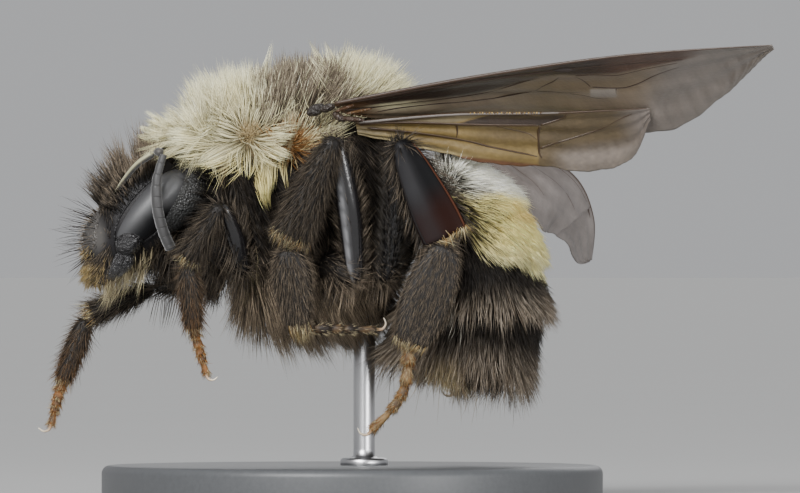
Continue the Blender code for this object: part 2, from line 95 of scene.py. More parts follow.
def hump(x, z, centre, reach):
    """1 at a centre in x and z, falling off over the reach in each."""
    return np.exp(-(((x - centre[0]) / reach[0]) ** 2 + ((z - centre[1]) / reach[1]) ** 2))


def rounded_power(value, power):
    return np.sign(value) * np.abs(value) ** power


def ripple(p, scale, seed=0.0):
    """Cheap smooth noise, about -1 to 1, of points in millimetres."""
    q = np.asarray(p, float) / scale
    x, y, z = q[..., 0], q[..., 1], q[..., 2]
    return (np.sin(1.7 * x + 2.3 * y + seed) * np.cos(2.1 * z - 1.3 * y + 2 * seed)
            + 0.6 * np.sin(3.1 * y - 2.7 * x + 1.9 * z + 3 * seed)
            + 0.4 * np.cos(4.7 * z + 3.9 * x - seed)) / 2


# ---- meshes from arrays ----
def make_mesh(name, verts, faces, material, uv=None, colour=None):
    """An object from vertices in millimetres and a list of arrays of faces with 3 or 4 corners."""
    mesh = bpy.data.meshes.new(name)
    verts = np.asarray(verts, np.float64)
    faces = [np.asarray(f, np.int32) for f in faces if len(f)]
    corners = np.concatenate([f.ravel() for f in faces])
    totals = np.concatenate([np.full(len(f), f.shape[1], np.int32) for f in faces])
    starts = np.concatenate([[0], np.cumsum(totals)[:-1]]).astype(np.int32)
    mesh.vertices.add(len(verts))
    mesh.vertices.foreach_set("co", (verts * MM).astype(np.float32).ravel())
    mesh.loops.add(len(corners))
    mesh.loops.foreach_set("vertex_index", corners)
    mesh.polygons.add(len(totals))
    mesh.polygons.foreach_set("loop_start", starts)
    mesh.polygons.foreach_set("use_smooth", np.ones(len(totals), bool))
    mesh.update(calc_edges=True)
    if uv is not None:
        layer = mesh.uv_layers.new(name="OFBake")
        layer.data.foreach_set("uv", np.asarray(uv, np.float32)[corners].ravel())
    if colour is not None:
        rgba = np.ones((len(verts), 4), np.float32)
        rgba[:, :3] = np.clip(colour, 0, 1)
        layer = mesh.color_attributes.new(name="Tint", type="FLOAT_COLOR", domain="POINT")
        layer.data.foreach_set("color", rgba.ravel())
    mesh.materials.append(material)
    item = bpy.data.objects.new(name, mesh)
    bpy.context.scene.collection.objects.link(item)
    return item


def grid_faces(rows, columns, wrap):
    """Quads over a grid of vertices, closed round the columns where wrap is true."""
    i = np.arange(rows - 1)[:, None] * columns
    j = np.arange(columns if wrap else columns - 1)[None, :]
    k = (j + 1) % columns
    return np.stack([i + j, i + k, i + columns + k, i + columns + j], -1).reshape(-1, 4)


class Bundle:
    """Vertices, faces and colours of several shapes that become one mesh."""

    def __init__(self):
        self.verts, self.quads, self.tris, self.colours, self.count = [], [], [], [], 0

    def add(self, verts, colour, quads, tris=()):
        self.quads.append(np.asarray(quads) + self.count)
        if len(tris):
            self.tris.append(np.asarray(tris) + self.count)
        self.verts.append(verts)
        self.colours.append(np.broadcast_to(np.asarray(colour, float), verts.shape))
        self.count += len(verts)

    def add_tube(self, grid, colour):
        """A closed body from rings, each end closed by a fan."""
        rows, columns = grid.shape[:2]
        flat = grid.reshape(-1, 3)
        colour = np.broadcast_to(np.asarray(colour, float), grid.shape).reshape(-1, 3)
        ends = np.stack([grid[0].mean(0), grid[-1].mean(0)])
        j = np.arange(columns)
        k = (j + 1) % columns
        low = np.stack([k, j, np.full(columns, rows * columns)], -1)
        last = (rows - 1) * columns
        high = np.stack([last + j, last + k, np.full(columns, rows * columns + 1)], -1)
        self.add(np.vstack([flat, ends]), np.vstack([colour, colour[:1], colour[-1:]]),
                 grid_faces(rows, columns, True), np.vstack([low, high]))

    def build(self, name, material):
        faces = [np.vstack(part) for part in (self.quads, self.tris) if part]
        return make_mesh(name, np.vstack(self.verts), faces, material, colour=np.vstack(self.colours))


def solid(name, material, *tubes):
    """One mesh of closed bodies, each given by its rings and its colour."""
    bundle = Bundle()
    for grid, colour in tubes:
        bundle.add_tube(grid, colour)
    return bundle.build(name, material)


# ---- surfaces that carry hair ----
def outward(grid):
    """Unit directions from the middle of each ring to its points."""
    return unit(grid - grid.mean(axis=1, keepdims=True))


class Skin:
    """A grid of points, rows from front to rear and columns round, with its normals and tangents."""

    def __init__(self, grid, island=(0.02, 0.02, 0.98, 0.98)):
        self.grid = grid
        rear = np.gradient(grid, axis=0)
        ahead = np.roll(grid, -1, axis=1) - np.roll(grid, 1, axis=1)
        normal = np.cross(rear, ahead)
        spokes = grid - grid.mean(axis=1, keepdims=True)
        flip = np.sign((normal * spokes).sum(-1, keepdims=True).sum(axis=(0, 1)))
        self.normal = unit(normal * flip)
        self.rear = unit(rear)
        self.island = island

    def inset(self, depth):
        """The same surface moved inward by depth, a number or an array over the grid."""
        depth = np.broadcast_to(depth, self.grid.shape[:2])[..., None]
        return Skin(self.grid - self.normal * depth, self.island)

    def cells(self):
        """Centres and areas of the quads between the grid's rows and columns."""
        a, d = self.grid[:-1], self.grid[1:]
        b, c = np.roll(a, -1, axis=1), np.roll(d, -1, axis=1)
        return (a + b + c + d) / 4, 0.5 * np.linalg.norm(np.cross(c - a, d - b), axis=-1)

    def scatter(self, density):
        """Roots spread by area; density, per square millimetre, is a function of a Roots."""
        centre, area = self.cells()
        rows, columns = area.shape
        place = np.broadcast_to((np.arange(rows)[:, None] + 0.5) / rows, area.shape)
        angle = np.broadcast_to((np.arange(columns)[None, :] + 0.5) / columns, area.shape)
        fields = [field[:-1].reshape(-1, 3) for field in (self.normal, self.rear)]
        probe = Roots(centre.reshape(-1, 3), *fields, place.ravel(), angle.ravel())
        weight = np.cumsum(area.ravel() * np.maximum(density(probe), 0))
        count = int(weight[-1])
        marks = (np.arange(count) + RNG.random(count)) / count * weight[-1]
        cell = np.minimum(np.searchsorted(weight, marks), area.size - 1)
        i, j = cell // columns, cell % columns
        fu, fv = RNG.random(count), RNG.random(count)
        k = (j + 1) % columns

        def blend(field):
            low = field[i, j] * (1 - fv)[:, None] + field[i, k] * fv[:, None]
            high = field[i + 1, j] * (1 - fv)[:, None] + field[i + 1, k] * fv[:, None]
            return low * (1 - fu)[:, None] + high * fu[:, None]

        place, angle = (i + fu) / rows, (j + fv) / columns
        x0, y0, x1, y1 = self.island
        uv = np.stack([x0 + (x1 - x0) * angle, y0 + (y1 - y0) * place], -1)
        return Roots(blend(self.grid), unit(blend(self.normal)), unit(blend(self.rear)), place, angle, uv)


def into_plane(v, normal):
    return unit(v - normal * (v * normal).sum(-1, keepdims=True))


class Roots:
    """Where strands start: position, normal, direction to the rear, places and bake place."""

    def __init__(self, pos, normal, rear, place, angle, uv=None):
        self.pos, self.normal, self.rear, self.place, self.uv = pos, normal, rear, place, uv
        self.x, self.y, self.z = pos[:, 0], pos[:, 1], pos[:, 2]
        self.side = np.where(pos[:, 1] < 0, -1.0, 1.0)
        self.out = np.abs(self.y)
        self.down = 1 - np.abs(1 - 2 * angle)
        self.n = len(pos)

    def steer(self, v):
        """The direction v laid along the skin."""
        return into_plane(np.broadcast_to(np.asarray(v, float), (self.n, 3)), self.normal)

    def near(self, centre, reach):
        return hump(self.x, self.z, centre, reach)

    def chance(self):
        return RNG.random(self.n)

    def pick(self, share, one, other):
        """For each strand, colour one with the given chance, else the other."""
        return np.where((self.chance() < share)[:, None], one, other)


# How far single hairs stray from their coat's plan.
STRAY_WAY, STRAY_LENGTH, STRAY_WIDTH, STRAY_BEND, STRAY_TONE = 0.07, 0.13, 0.15, 0.05, 0.16
MOST_LONGER, MOST_WIDER, MOST_PULL = 0.35, 0.3, 0.6
ROOT_DEPTH = 0.06
RING_SPACING, THINNING, THINNED, TINT_CURVE, PULL_CURVE = 0.85, 1.6, 0.75, 0.8, 1.7
UV_STRAND = 0.0015
NEAREST_BLOCK = 4000


class Coat:
    """Strands gathered from several skins, then built as joined meshes of tapered solid hairs."""

    def __init__(self, name, steps=2):
        self.name, self.steps, self.parts = name, steps, []

    def grow(self, roots, direction, length, width, root_colour, tip_colour, bend=(0, 0, 0),
             clump=(0, 0), curl=0.0):
        """Adds strands; clump is how far tips are pulled to a shared one, and how many share it."""
        n = roots.n
        pull_share, clump_size = clump
        direction = unit(direction + RNG.normal(0, STRAY_WAY, (n, 3)))
        length = np.broadcast_to(length, n) * (
            1 + RNG.normal(0, STRAY_LENGTH, n).clip(-MOST_LONGER, MOST_LONGER))
        width = np.broadcast_to(width, n) * (1 + RNG.normal(0, STRAY_WIDTH, n).clip(-MOST_WIDER, MOST_WIDER))
        bend = np.broadcast_to(bend, (n, 3)) + RNG.normal(0, STRAY_BEND + curl, (n, 3))
        tip = (direction + bend) * length[:, None]
        pull = np.zeros((n, 3))
        if clump_size > 1 and n > clump_size:
            heads = RNG.permutation(n)[:max(1, n // clump_size)]
            near = nearest(roots.pos, roots.pos[heads])
            goal = roots.pos[heads][near] + tip[heads][near]
            pull = (goal - (roots.pos + tip)) * np.broadcast_to(pull_share, n)[:, None]
            far = np.linalg.norm(pull, axis=-1) / length
            pull = pull * (np.minimum(1, MOST_PULL / np.maximum(far, 1e-6)))[:, None]
        start = roots.pos - roots.normal * ROOT_DEPTH
        tone = np.exp(RNG.normal(0, STRAY_TONE, (n, 1)))
        root_colour = np.broadcast_to(root_colour, (n, 3)) * tone
        tip_colour = np.broadcast_to(tip_colour, (n, 3)) * tone
        self.parts.append((start, direction, bend, pull, length, width, root_colour, tip_colour, roots.uv))

    def build(self):
        """One or more objects, each below the triangle limit, cut where the strands lie along the body."""
        data = [np.concatenate(field) for field in zip(*self.parts)]
        triangles = 6 * (self.steps - 1) + 4
        pieces = max(1, math.ceil(len(data[0]) / (PIECE_TRIANGLES // triangles)))
        order = np.argsort(data[0][:, 0] + 0.35 * data[0][:, 2], kind="stable")
        made = []
        for i, chunk in enumerate(np.array_split(order, pieces)):
            name = self.name if pieces == 1 else "%s_%d" % (self.name, i + 1)
            made.append(self.build_piece(name, [field[chunk] for field in data]))
        return made

    def build_piece(self, name, data):
        start, direction, bend, pull, length, width, root_colour, tip_colour, uv = data
        n, steps = len(start), self.steps
        places = np.linspace(0, 1, steps + 1)[:-1] ** RING_SPACING
        thick = 1 - places ** THINNING * THINNED
        across = unit(np.cross(direction, unit(RNG.normal(0, 1, (n, 3)))))
        other = np.cross(direction, across)
        verts = np.zeros((n, 3 * steps + 1, 3))
        colours = np.zeros_like(verts)
        uvs = np.zeros((n, 3 * steps + 1, 2))
        for k, t in enumerate(list(places) + [1.0]):
            centre = start + (direction * t + bend * t * t) * length[:, None] + pull * t ** PULL_CURVE
            shade = root_colour + (tip_colour - root_colour) * t ** TINT_CURVE
            if k == steps:
                verts[:, -1], colours[:, -1] = centre, shade
                uvs[:, -1] = uv + np.array([0.0, UV_STRAND])
                continue
            for s in range(3):
                a = TAU * s / 3
                ring = (across * math.cos(a) + other * math.sin(a)) * (width * 0.5 * thick[k])[:, None]
                verts[:, 3 * k + s] = centre + ring
                colours[:, 3 * k + s] = shade
                uvs[:, 3 * k + s] = uv + np.array([(s - 1) * UV_STRAND, (t - 0.5) * 2 * UV_STRAND])
        pattern = [(0, 2, 1)]
        for k in range(steps - 1):
            for s in range(3):
                a, b = 3 * k + s, 3 * k + (s + 1) % 3
                pattern += [(a, b, b + 3), (a, b + 3, a + 3)]
        last = 3 * (steps - 1)
        pattern = np.array(pattern + [(last + s, last + (s + 1) % 3, 3 * steps) for s in range(3)])
        faces = (pattern[None] + (np.arange(n) * (3 * steps + 1))[:, None, None]).reshape(-1, 3)
        return make_mesh(name, verts.reshape(-1, 3), [faces], HAIR, uvs.reshape(-1, 2),
                         colours.reshape(-1, 3))


def nearest(points, heads):
    """Index of the nearest head for each point, a block at a time."""
    out = np.zeros(len(points), int)
    for i in range(0, len(points), NEAREST_BLOCK):
        block = points[i:i + NEAREST_BLOCK]
        gap = ((block ** 2).sum(1)[:, None] + (heads ** 2).sum(1)[None] - 2 * block @ heads.T)
        out[i:i + NEAREST_BLOCK] = gap.argmin(1)
    return out


# ---- materials ----
def new_material(name):
    material = bpy.data.materials.new(name)
    material.use_nodes = True
    tree = material.node_tree
    return material, tree, tree.nodes["Principled BSDF"]


def set_inputs(made, values):
    for key, value in values.items():
        made.inputs[key.replace("_", " ")].default_value = value


def node(tree, kind, **values):
    made = tree.nodes.new(kind)
    own = {key: value for key, value in values.items() if hasattr(made, key)}
    for key, value in own.items():
        setattr(made, key, value)
    set_inputs(made, {key: value for key, value in values.items() if key not in own})
    return made


def in_place(tree, kind, **values):
    """A texture node that follows the object's own coordinates."""
    made = node(tree, kind, **values)
    tree.links.new(node(tree, "ShaderNodeTexCoord").outputs["Object"], made.inputs["Vector"])
    return made


def add_gloss(tree, shader, noise, least, most):
    """Roughness that follows a noise between two values."""
    gloss = node(tree, "ShaderNodeMapRange", To_Min=least, To_Max=most)
    tree.links.new(noise.outputs["Fac"], gloss.inputs["Value"])
    tree.links.new(gloss.outputs["Result"], shader.inputs["Roughness"])


def add_relief(tree, shader, height, strength, depth, sockets):
    relief = node(tree, "ShaderNodeBump", Strength=strength, Distance=depth)
    tree.links.new(height, relief.inputs["Height"])
    for socket in sockets:
        tree.links.new(relief.outputs["Normal"], shader.inputs[socket])


def tinted(name, rough, vary, scale, bump=0.0, bump_scale=0.0, coat=0.0, sheen=0.0, specular=0.5,
           rough_vary=0.1, cells=False, bump_depth=0.00003):
    """A material whose colour comes from the mesh's own tint, varied and roughened by noise."""
    material, tree, shader = new_material(name)
    link = tree.links.new
    tint = node(tree, "ShaderNodeAttribute", attribute_name="Tint")
    noise = in_place(tree, "ShaderNodeTexNoise", Scale=scale, Detail=4.0, Roughness=0.6)
    spread = node(tree, "ShaderNodeMapRange", To_Min=1 - vary, To_Max=1 + vary)
    link(noise.outputs["Fac"], spread.inputs["Value"])
    times = node(tree, "ShaderNodeMix", data_type="RGBA", blend_type="MULTIPLY", Factor=1.0)
    link(tint.outputs["Color"], times.inputs[6])
    link(spread.outputs["Result"], times.inputs[7])
    link(times.outputs[2], shader.inputs["Base Color"])
    add_gloss(tree, shader, noise, max(rough - rough_vary, 0.02), min(rough + rough_vary, 1.0))
    set_inputs(shader, {"Specular IOR Level": specular, "Coat Weight": coat, "Coat Roughness": 0.12,
                        "Sheen Weight": sheen, "Sheen Roughness": 0.4})
    if bump:
        if cells:
            height = in_place(tree, "ShaderNodeTexVoronoi", Scale=bump_scale).outputs["Distance"]
        else:
            height = in_place(tree, "ShaderNodeTexNoise", Scale=bump_scale, Detail=3.0,
                              Roughness=0.7).outputs["Fac"]
        add_relief(tree, shader, height, bump, bump_depth, ("Normal", "Coat Normal"))
    return material


HAIR = tinted("hair", 0.55, 0.12, 700.0, specular=0.35)
CHITIN = tinted("chitin_dark", 0.30, 0.2, 800.0, bump=0.35, bump_scale=9000.0, coat=0.25)
CHITIN_GLOSS = tinted("chitin_gloss", 0.17, 0.2, 800.0, bump=0.3, bump_scale=5000.0, coat=0.4,
                      rough_vary=0.06)
CHITIN_ROUGH = tinted("chitin_wrinkled", 0.13, 0.3, 1500.0, bump=1.0, bump_scale=4600.0, coat=0.6,
                      rough_vary=0.05, bump_depth=0.00026)
CHITIN_PITTED = tinted("chitin_pitted", 0.42, 0.25, 1200.0, bump=1.0, bump_scale=10500.0, cells=True,
                       bump_depth=0.00006)
PLATE = tinted("chitin_plate", 0.36, 0.25, 600.0, bump=0.14, bump_scale=9000.0, specular=0.07,
               bump_depth=0.00001)
CHITIN_MATT = tinted("chitin_matt", 0.50, 0.3, 1500.0, bump=0.5, bump_scale=21000.0, cells=True,
                     specular=0.3, bump_depth=0.00002)
UNDERCOAT = tinted("undercoat", 0.8, 0.4, 2500.0, bump=0.8, bump_scale=7000.0, specular=0.2)
EYE = tinted("eye_facets", 0.42, 0.12, 500.0, bump=0.10, bump_scale=24000.0, coat=0.05, cells=True,
             rough_vary=0.05)
FEELER = tinted("feeler", 0.45, 0.25, 2500.0, bump=0.4, bump_scale=18000.0, sheen=0.7)
WING = tinted("wing_skin", 0.38, 0.18, 1200.0, bump=0.35, bump_scale=7000.0, cells=True,
              rough_vary=0.12, specular=0.6)
VEIN = tinted("wing_vein", 0.35, 0.2, 1500.0, bump=0.3, bump_scale=9000.0)


# ---- colours ----
CREAM = np.array([0.95, 0.90, 0.60])
CREAM_DEEP = np.array([0.58, 0.45, 0.24])
YELLOW = np.array([0.98, 0.85, 0.35])
GOLD = np.array([0.60, 0.40, 0.11])
WHITE = np.array([0.98, 0.96, 0.82])
INK = np.array([0.0045, 0.0036, 0.0030])
SOOT = np.array([0.020, 0.015, 0.011])
# SMOKE gives dark hairs their grey-brown tips: partly the hairs' own tone, partly painted glints.
SMOKE = np.array([0.230, 0.180, 0.125])
ORANGE = np.array([0.50, 0.20, 0.035])
SHELL = np.array([0.012, 0.011, 0.012])
BROWN = np.array([0.20, 0.095, 0.030])
STRAW, PALE_STRAW, TAN = (0.92, 0.76, 0.44), (1.0, 0.88, 0.62), (0.66, 0.48, 0.22)
DARK_SKIN = INK * 1.5

# ---- trunk ----
HEAD_PROFILE = (
    (-8.00, 14.15, -7.50, 13.80, 1.00),
    (-8.95, 14.60, -6.80, 13.15, 2.05),
    (-10.00, 14.35, -6.35, 12.25, 2.60),
    (-10.85, 13.50, -6.75, 11.15, 2.80),
    (-11.30, 12.35, -7.60, 10.35, 2.75),
    (-11.45, 11.15, -8.50, 9.80, 2.35),
    (-11.35, 10.05, -9.40, 9.30, 1.80),
    (-10.85, 9.20, -10.20, 8.95, 0.90),
)
THORAX_PROFILE = (
    (-8.65, 15.30, -8.45, 14.95, 0.90),
    (-8.10, 16.10, -7.40, 14.35, 2.90),
    (-6.90, 17.00, -6.15, 13.10, 4.00),
    (-5.20, 17.75, -5.60, 10.10, 4.60),
    (-3.40, 18.35, -4.80, 8.00, 4.75),
    (-1.60, 18.70, -2.90, 7.10, 4.50),
    (0.20, 18.75, -0.30, 7.15, 4.20),
    (1.75, 18.30, 1.05, 8.15, 3.85),
    (2.60, 17.10, 1.85, 9.90, 3.20),
    (2.55, 15.50, 2.20, 12.00, 2.00),
    (2.50, 14.60, 2.40, 13.60, 0.80),
)
ABDOMEN_PROFILE = (
    (2.95, 13.60, 2.80, 12.70, 0.90),
    (3.35, 14.45, 2.78, 12.00, 2.60),
    (4.60, 14.65, 2.78, 11.50, 3.80),
    (6.10, 14.00, 2.76, 11.10, 4.45),
    (7.40, 12.60, 2.70, 10.65, 4.75),
    (8.15, 10.80, 2.55, 10.00, 4.85),
    (8.35, 8.90, 2.15, 8.90, 4.75),
    (8.10, 7.00, 1.40, 7.60, 4.40),
    (7.20, 5.25, 1.10, 6.40, 3.70),
    (5.70, 4.20, 1.70, 5.40, 2.70),
    (4.30, 4.05, 2.90, 4.50, 1.30),
)
SQUARENESS = 0.88
ROWS, COLUMNS = 120, 160


def trunk_outline(profile):
    """The outer surface of a trunk part: column 0 is the top line, a quarter on is the right side."""
    rows = along(profile, np.linspace(0, 1, ROWS))
    angle = TAU * np.arange(COLUMNS) / COLUMNS
    up, side = rounded_power(np.cos(angle), SQUARENESS), rounded_power(np.sin(angle), SQUARENESS)
    top = np.stack([rows[:, 0], 0 * rows[:, 0], rows[:, 1]], -1)
    low = np.stack([rows[:, 2], 0 * rows[:, 0], rows[:, 3]], -1)
    centre, rise = (top + low) / 2, (top - low) / 2
    grid = centre[:, None] + rise[:, None] * up[None, :, None]
    grid[:, :, 1] += rows[:, 4][:, None] * side[None]
    return Skin(grid)


# Over a trunk grid: place from front to rear, and how far round from the top line to the bottom line.
PLACE = np.broadcast_to(np.linspace(0, 1, ROWS)[:, None], (ROWS, COLUMNS))
DOWN = np.broadcast_to((1 - np.abs(1 - 2 * (np.arange(COLUMNS) / COLUMNS)))[None], (ROWS, COLUMNS))


def shifted(skin, front, rear, reach):
    """A skin with its two ends drawn in, so the coat there ends at the outer shape; shifts are (x, z)."""
    grid = skin.grid.copy()
    for shift, share in ((front, 1 - smooth(0, reach, PLACE)), (rear, smooth(1 - reach, 1, PLACE))):
        grid[..., 0] += shift[0] * share
        grid[..., 2] += shift[1] * share
    return Skin(grid, skin.island)


def end_fade(width):
    return smooth(0, width, PLACE) * smooth(0, width, 1 - PLACE)


# The coat's depth below each outer surface.
thorax_depth = (1.55 - 0.45 * smooth(0.25, 0.5, DOWN) - 0.15 * smooth(0.6, 0.9, DOWN)) * end_fade(0.10)
thorax_skin = shifted(trunk_outline(THORAX_PROFILE).inset(thorax_depth), (0.60, -0.10), (-1.15, -0.25), 0.24)

SEGMENT_ENDS = (0.20, 0.37, 0.52, 0.64, 0.79)
SEGMENT_RIM, SEGMENT_STEP = 0.10, 0.13
steps = sum(SEGMENT_STEP * smooth(end - SEGMENT_RIM, end, PLACE) * (PLACE <= end) for end in SEGMENT_ENDS)
abdomen_depth = (0.62 + 0.30 * smooth(0.6, 0.95, PLACE) - steps) * end_fade(0.08)
abdomen_skin = shifted(trunk_outline(ABDOMEN_PROFILE).inset(abdomen_depth), (0.25, 0.0), (0.15, 1.25), 0.22)

head_depth = (0.28 + 0.62 * (1 - smooth(0.12, 0.42, DOWN)) * (1 - smooth(0.45, 0.75, PLACE))
              + 0.10 * (1 - smooth(0.1, 0.3, DOWN))) * end_fade(0.12)
head_skin = trunk_outline(HEAD_PROFILE).inset(head_depth)
head_skin.island = (0.02, 0.02, 0.98, 0.48)

# Lower edge of the cream fur: (x, z) pairs as two rows.
CREAM_EDGE = ((-8.5, -6.8, -5.6, -4.5, -3.4, -2.6, -1.8, -1.0, 0.0),
              (14.60, 14.85, 14.65, 14.45, 14.30, 14.50, 14.80, 15.20, 16.10))
# Front edge of the abdomen's pale fur, x by z, and its lower edge, z by x.
PALE_FRONT = ((9.0, 10.4, 11.4, 12.4, 12.7, 13.1, 14.8), (5.2, 4.95, 4.75, 4.55, 4.1, 3.75, 3.45))
PALE_LOW = ((4.8, 5.6, 6.4, 7.2, 8.2), (10.75, 10.55, 10.3, 10.1, 9.85))
BAND_MIDDLE, BAND_HALF = -2.55, 1.55


def thorax_marks(p):
    """Shares of cream, and of the dark band between the wings, at points of the thorax."""
    x, y, z = p[..., 0], np.abs(p[..., 1]), p[..., 2]
    wave = ripple(p, 1.1, 0.7) * 0.25
    low_edge = np.interp(x, *CREAM_EDGE)
    cream = smooth(low_edge - 0.15, low_edge + 0.25, z + wave)
    drop = np.exp(-((x + 3.75) / 0.45) ** 2) * smooth(13.3, 13.8, z) * smooth(2.0, 3.2, y)
    cream = np.maximum(cream, drop > 0.45)
    middle = BAND_MIDDLE + 0.40 * smooth(17.6, 15.8, z)
    band = smooth(BAND_HALF + 0.5, BAND_HALF - 0.35, np.abs(x - middle) + wave) * smooth(15.2, 16.0, z)
    return cream, band


def abdomen_marks(p):
    """Shares of pale fur, and how white rather than yellow it is."""
    x, z = p[..., 0], p[..., 2]
    wave = ripple(p, 0.8, 2.1) * 0.16
    front, low = np.interp(z, *PALE_FRONT), np.interp(x, *PALE_LOW)
    pale = smooth(-0.10, 0.25, x - front + wave) * smooth(-0.10, 0.20, z - low + wave)
    return pale, smooth(12.75, 13.25, z + wave)


def thorax_tint(p):
    cream, band = thorax_marks(p)
    # Under the cream fur the skin is a dark tan: partly the coat's colour carried onto the skin, partly
    # painted shade between the locks.
    return mix(DARK_SKIN, mix(CREAM_DEEP * 0.30, SOOT, band), cream)


def abdomen_tint(p):
    pale, white = abdomen_marks(p)
    return mix(DARK_SKIN, mix(YELLOW * 0.85, WHITE * 0.9, white), pale)


# Tubes that join the trunk's parts: a path, and radii along it.
NECK = ((-8.2, 0, 12.95), (-7.2, 0, 13.15), (-6.0, 0, 13.2), (-4.6, 0, 13.2)), (1.6, 1.95, 2.3, 2.6)
THROAT = ((-8.7, 0, 11.7), (-7.5, 0, 11.15), (-6.3, 0, 10.85), (-5.0, 0, 10.6)), (1.1, 1.35, 1.55, 1.7)
WAIST = ((0.9, 0, 13.4), (2.0, 0, 13.2), (3.2, 0, 13.0), (4.4, 0, 12.6)), (1.7, 1.3, 1.3, 1.6)


# ---- limbs ----
def limb_grid(path, widths, depths=None, flat_axis=(0, 1, 0), sides=20, rings=22, caps=(0.16, 0.16),
              power=2.0):
    """Rings swept along a curve, rounded at both ends; column 0 lies on the broad side's edge."""
    depths = widths if depths is None else depths
    path = np.asarray(path, float)
    place = np.linspace(0, 1, rings)
    centre, ahead = along(path, place), heading(path, place)
    thin = np.asarray(flat_axis, float)
    thin = unit(thin - ahead * (ahead @ thin)[:, None])
    broad = np.cross(ahead, thin)
    swell = 1.0
    for reach, cap in ((place, caps[0]), (1 - place, caps[1])):
        swell = swell * np.sqrt(np.clip(1 - (1 - np.minimum(reach / cap, 1)) ** 2, 0.02, 1))
    a = TAU * np.arange(sides) / sides
    w = (along(widths, place) / 2 * swell)[:, None] * rounded_power(np.cos(a), 2 / power)[None]
    d = (along(depths, place) / 2 * swell)[:, None] * rounded_power(np.sin(a), 2 / power)[None]
    return centre[:, None] + broad[:, None] * w[..., None] + thin[:, None] * d[..., None]


def mirrored(points, side):
    """Points of the left or right side, from points given with y away from the middle."""
    return np.asarray(points, float) * [1, side, 1]


# Each leg: its side, its size, then its hip, trochanter, knee, ankle, heel, bends of the foot and toe.
LEGS = {
    "fore_left": (LEFT, 0.85, (-5.70, 2.2, 10.60), (-4.50, 3.55, 9.65), (-5.40, 4.95, 12.45),
                  (-6.85, 5.00, 10.00), (-6.55, 4.70, 7.15), (-6.05, 4.55, 5.35)),
    "fore_right": (RIGHT, 0.95, (-5.55, 2.3, 10.5), (-5.85, 2.9, 9.45), (-8.35, 3.5, 8.95),
                   (-11.15, 3.5, 7.75), (-12.25, 3.3, 4.90), (-12.70, 3.2, 3.15)),
    "mid_left": (LEFT, 1.15, (-1.05, 2.9, 10.0), (0.15, 4.0, 9.35), (-0.65, 5.25, 15.30),
                 (-2.65, 5.45, 10.75), (-2.20, 5.10, 7.25), (1.05, 4.7, 7.20)),
    "mid_right": (RIGHT, 1.15, (-1.05, 2.9, 10.0), (0.15, 4.0, 9.35), (-0.65, 5.25, 15.10),
                  (-2.35, 5.55, 10.95), (-1.70, 5.30, 7.60), (1.10, 4.9, 8.05)),
    "hind_left": (LEFT, 1.0, (0.95, 2.6, 10.0), (1.50, 3.75, 9.40), (1.95, 5.15, 15.15),
                  (4.00, 5.75, 10.85), (2.35, 5.55, 6.45), (2.10, 5.35, 4.55), (0.80, 5.1, 3.00)),
    "hind_right": (RIGHT, 1.0, (0.95, 2.6, 9.7), (1.35, 3.70, 8.90), (3.10, 6.60, 12.40),
                   (4.90, 6.60, 8.40), (5.20, 6.30, 5.60), (4.30, 5.9, 4.50)),
}
# Widths and depths along a joint, by pair of legs.
TIBIA_SHAPES = {
    "fore": ([0.52, 0.75, 0.88, 0.92], [0.48, 0.62, 0.7, 0.65]),
    "mid": ([0.70, 1.15, 1.50, 1.60], [0.60, 0.78, 0.82, 0.7]),
    "hind": ([0.70, 1.30, 1.70, 1.95, 1.95], [0.55, 0.56, 0.54, 0.50, 0.46]),
}
BASITARSUS_SHAPES = {
    "fore": ([0.62, 0.86, 0.82, 0.62], [0.5, 0.64, 0.6, 0.5]),
    "mid": ([0.95, 1.55, 1.40, 0.85], [0.55, 0.7, 0.66, 0.52]),
    "hind": ([1.10, 1.95, 2.00, 1.35], [0.42, 0.52, 0.52, 0.44]),
}
COXA_SHAPE = np.array([1.3, 1.3, 0.8]), np.array([1.2, 1.1, 0.75])
FEMUR_SHAPE = np.array([0.62, 0.86, 0.60]), np.array([0.54, 0.70, 0.54])


def leg_shapes(pair, side, size, places):
    """The grids of one leg's joints, by name, and its foot's path, thinner than the solids by the coat."""
    hip, trochanter, knee, ankle, heel = places[:5]
    out = np.array([0, side, 0.0])
    grow = size * (1.05 if pair == "fore" else 0.85)
    shapes = {"coxa": limb_grid([hip, (hip + trochanter) / 2 + out * 0.1, trochanter],
                                *[v * grow for v in COXA_SHAPE])}
    start, end = trochanter - (knee - trochanter) * 0.04, trochanter + (knee - trochanter) * 0.985
    shapes["femur"] = limb_grid([start, (start + end) / 2 + out * 0.12 + [0.12, 0, 0], end],
                                *[v * size for v in FEMUR_SHAPE], rings=30, sides=24)
    start, end = knee + (ankle - knee) * 0.02 + out * 0.33, knee + (ankle - knee) * 0.965
    shapes["tibia"] = limb_grid([start, (start + end) / 2, end], *TIBIA_SHAPES[pair], rings=34, sides=28,
                                caps=(0.12, 0.06), power=2.3 if pair == "hind" else 2.0)
    run = unit(heel - ankle)
    start, end = ankle + run * 0.16, heel - run * 0.06
    shapes["basitarsus"] = limb_grid([start, (start + end) / 2, end], *BASITARSUS_SHAPES[pair], rings=26,
                                     sides=24, caps=(0.10, 0.08), power=2.2)
    bends = places[5:-1] if len(places) > 6 else [(heel + places[-1]) / 2]
    return shapes, np.array([heel, *bends, places[-1]])


# Where each of the foot's joints starts and ends along it; the last one is long and holds the claws.
FOOT_SPANS = ((0.00, 0.23), (0.215, 0.415), (0.40, 0.57), (0.555, 0.70), (0.68, 1.0))


def foot_joints(path, size):
    """Four heart-shaped joints and a long last one, along the foot's path."""
    for i, (a, b) in enumerate(FOOT_SPANS):
        wide, deep = [0.32, 0.42, 0.52 - 0.03 * i, 0.44 - 0.03 * i], [0.22, 0.32, 0.40, 0.32]
        if i == len(FOOT_SPANS) - 1:
            wide, deep = [0.24, 0.30, 0.34, 0.40], [0.20, 0.26, 0.30, 0.34]
        yield limb_grid(along(path, np.linspace(a, b, 4)), np.array(wide) * size, np.array(deep) * size,
                        sides=14, rings=12, caps=(0.15, 0.22))


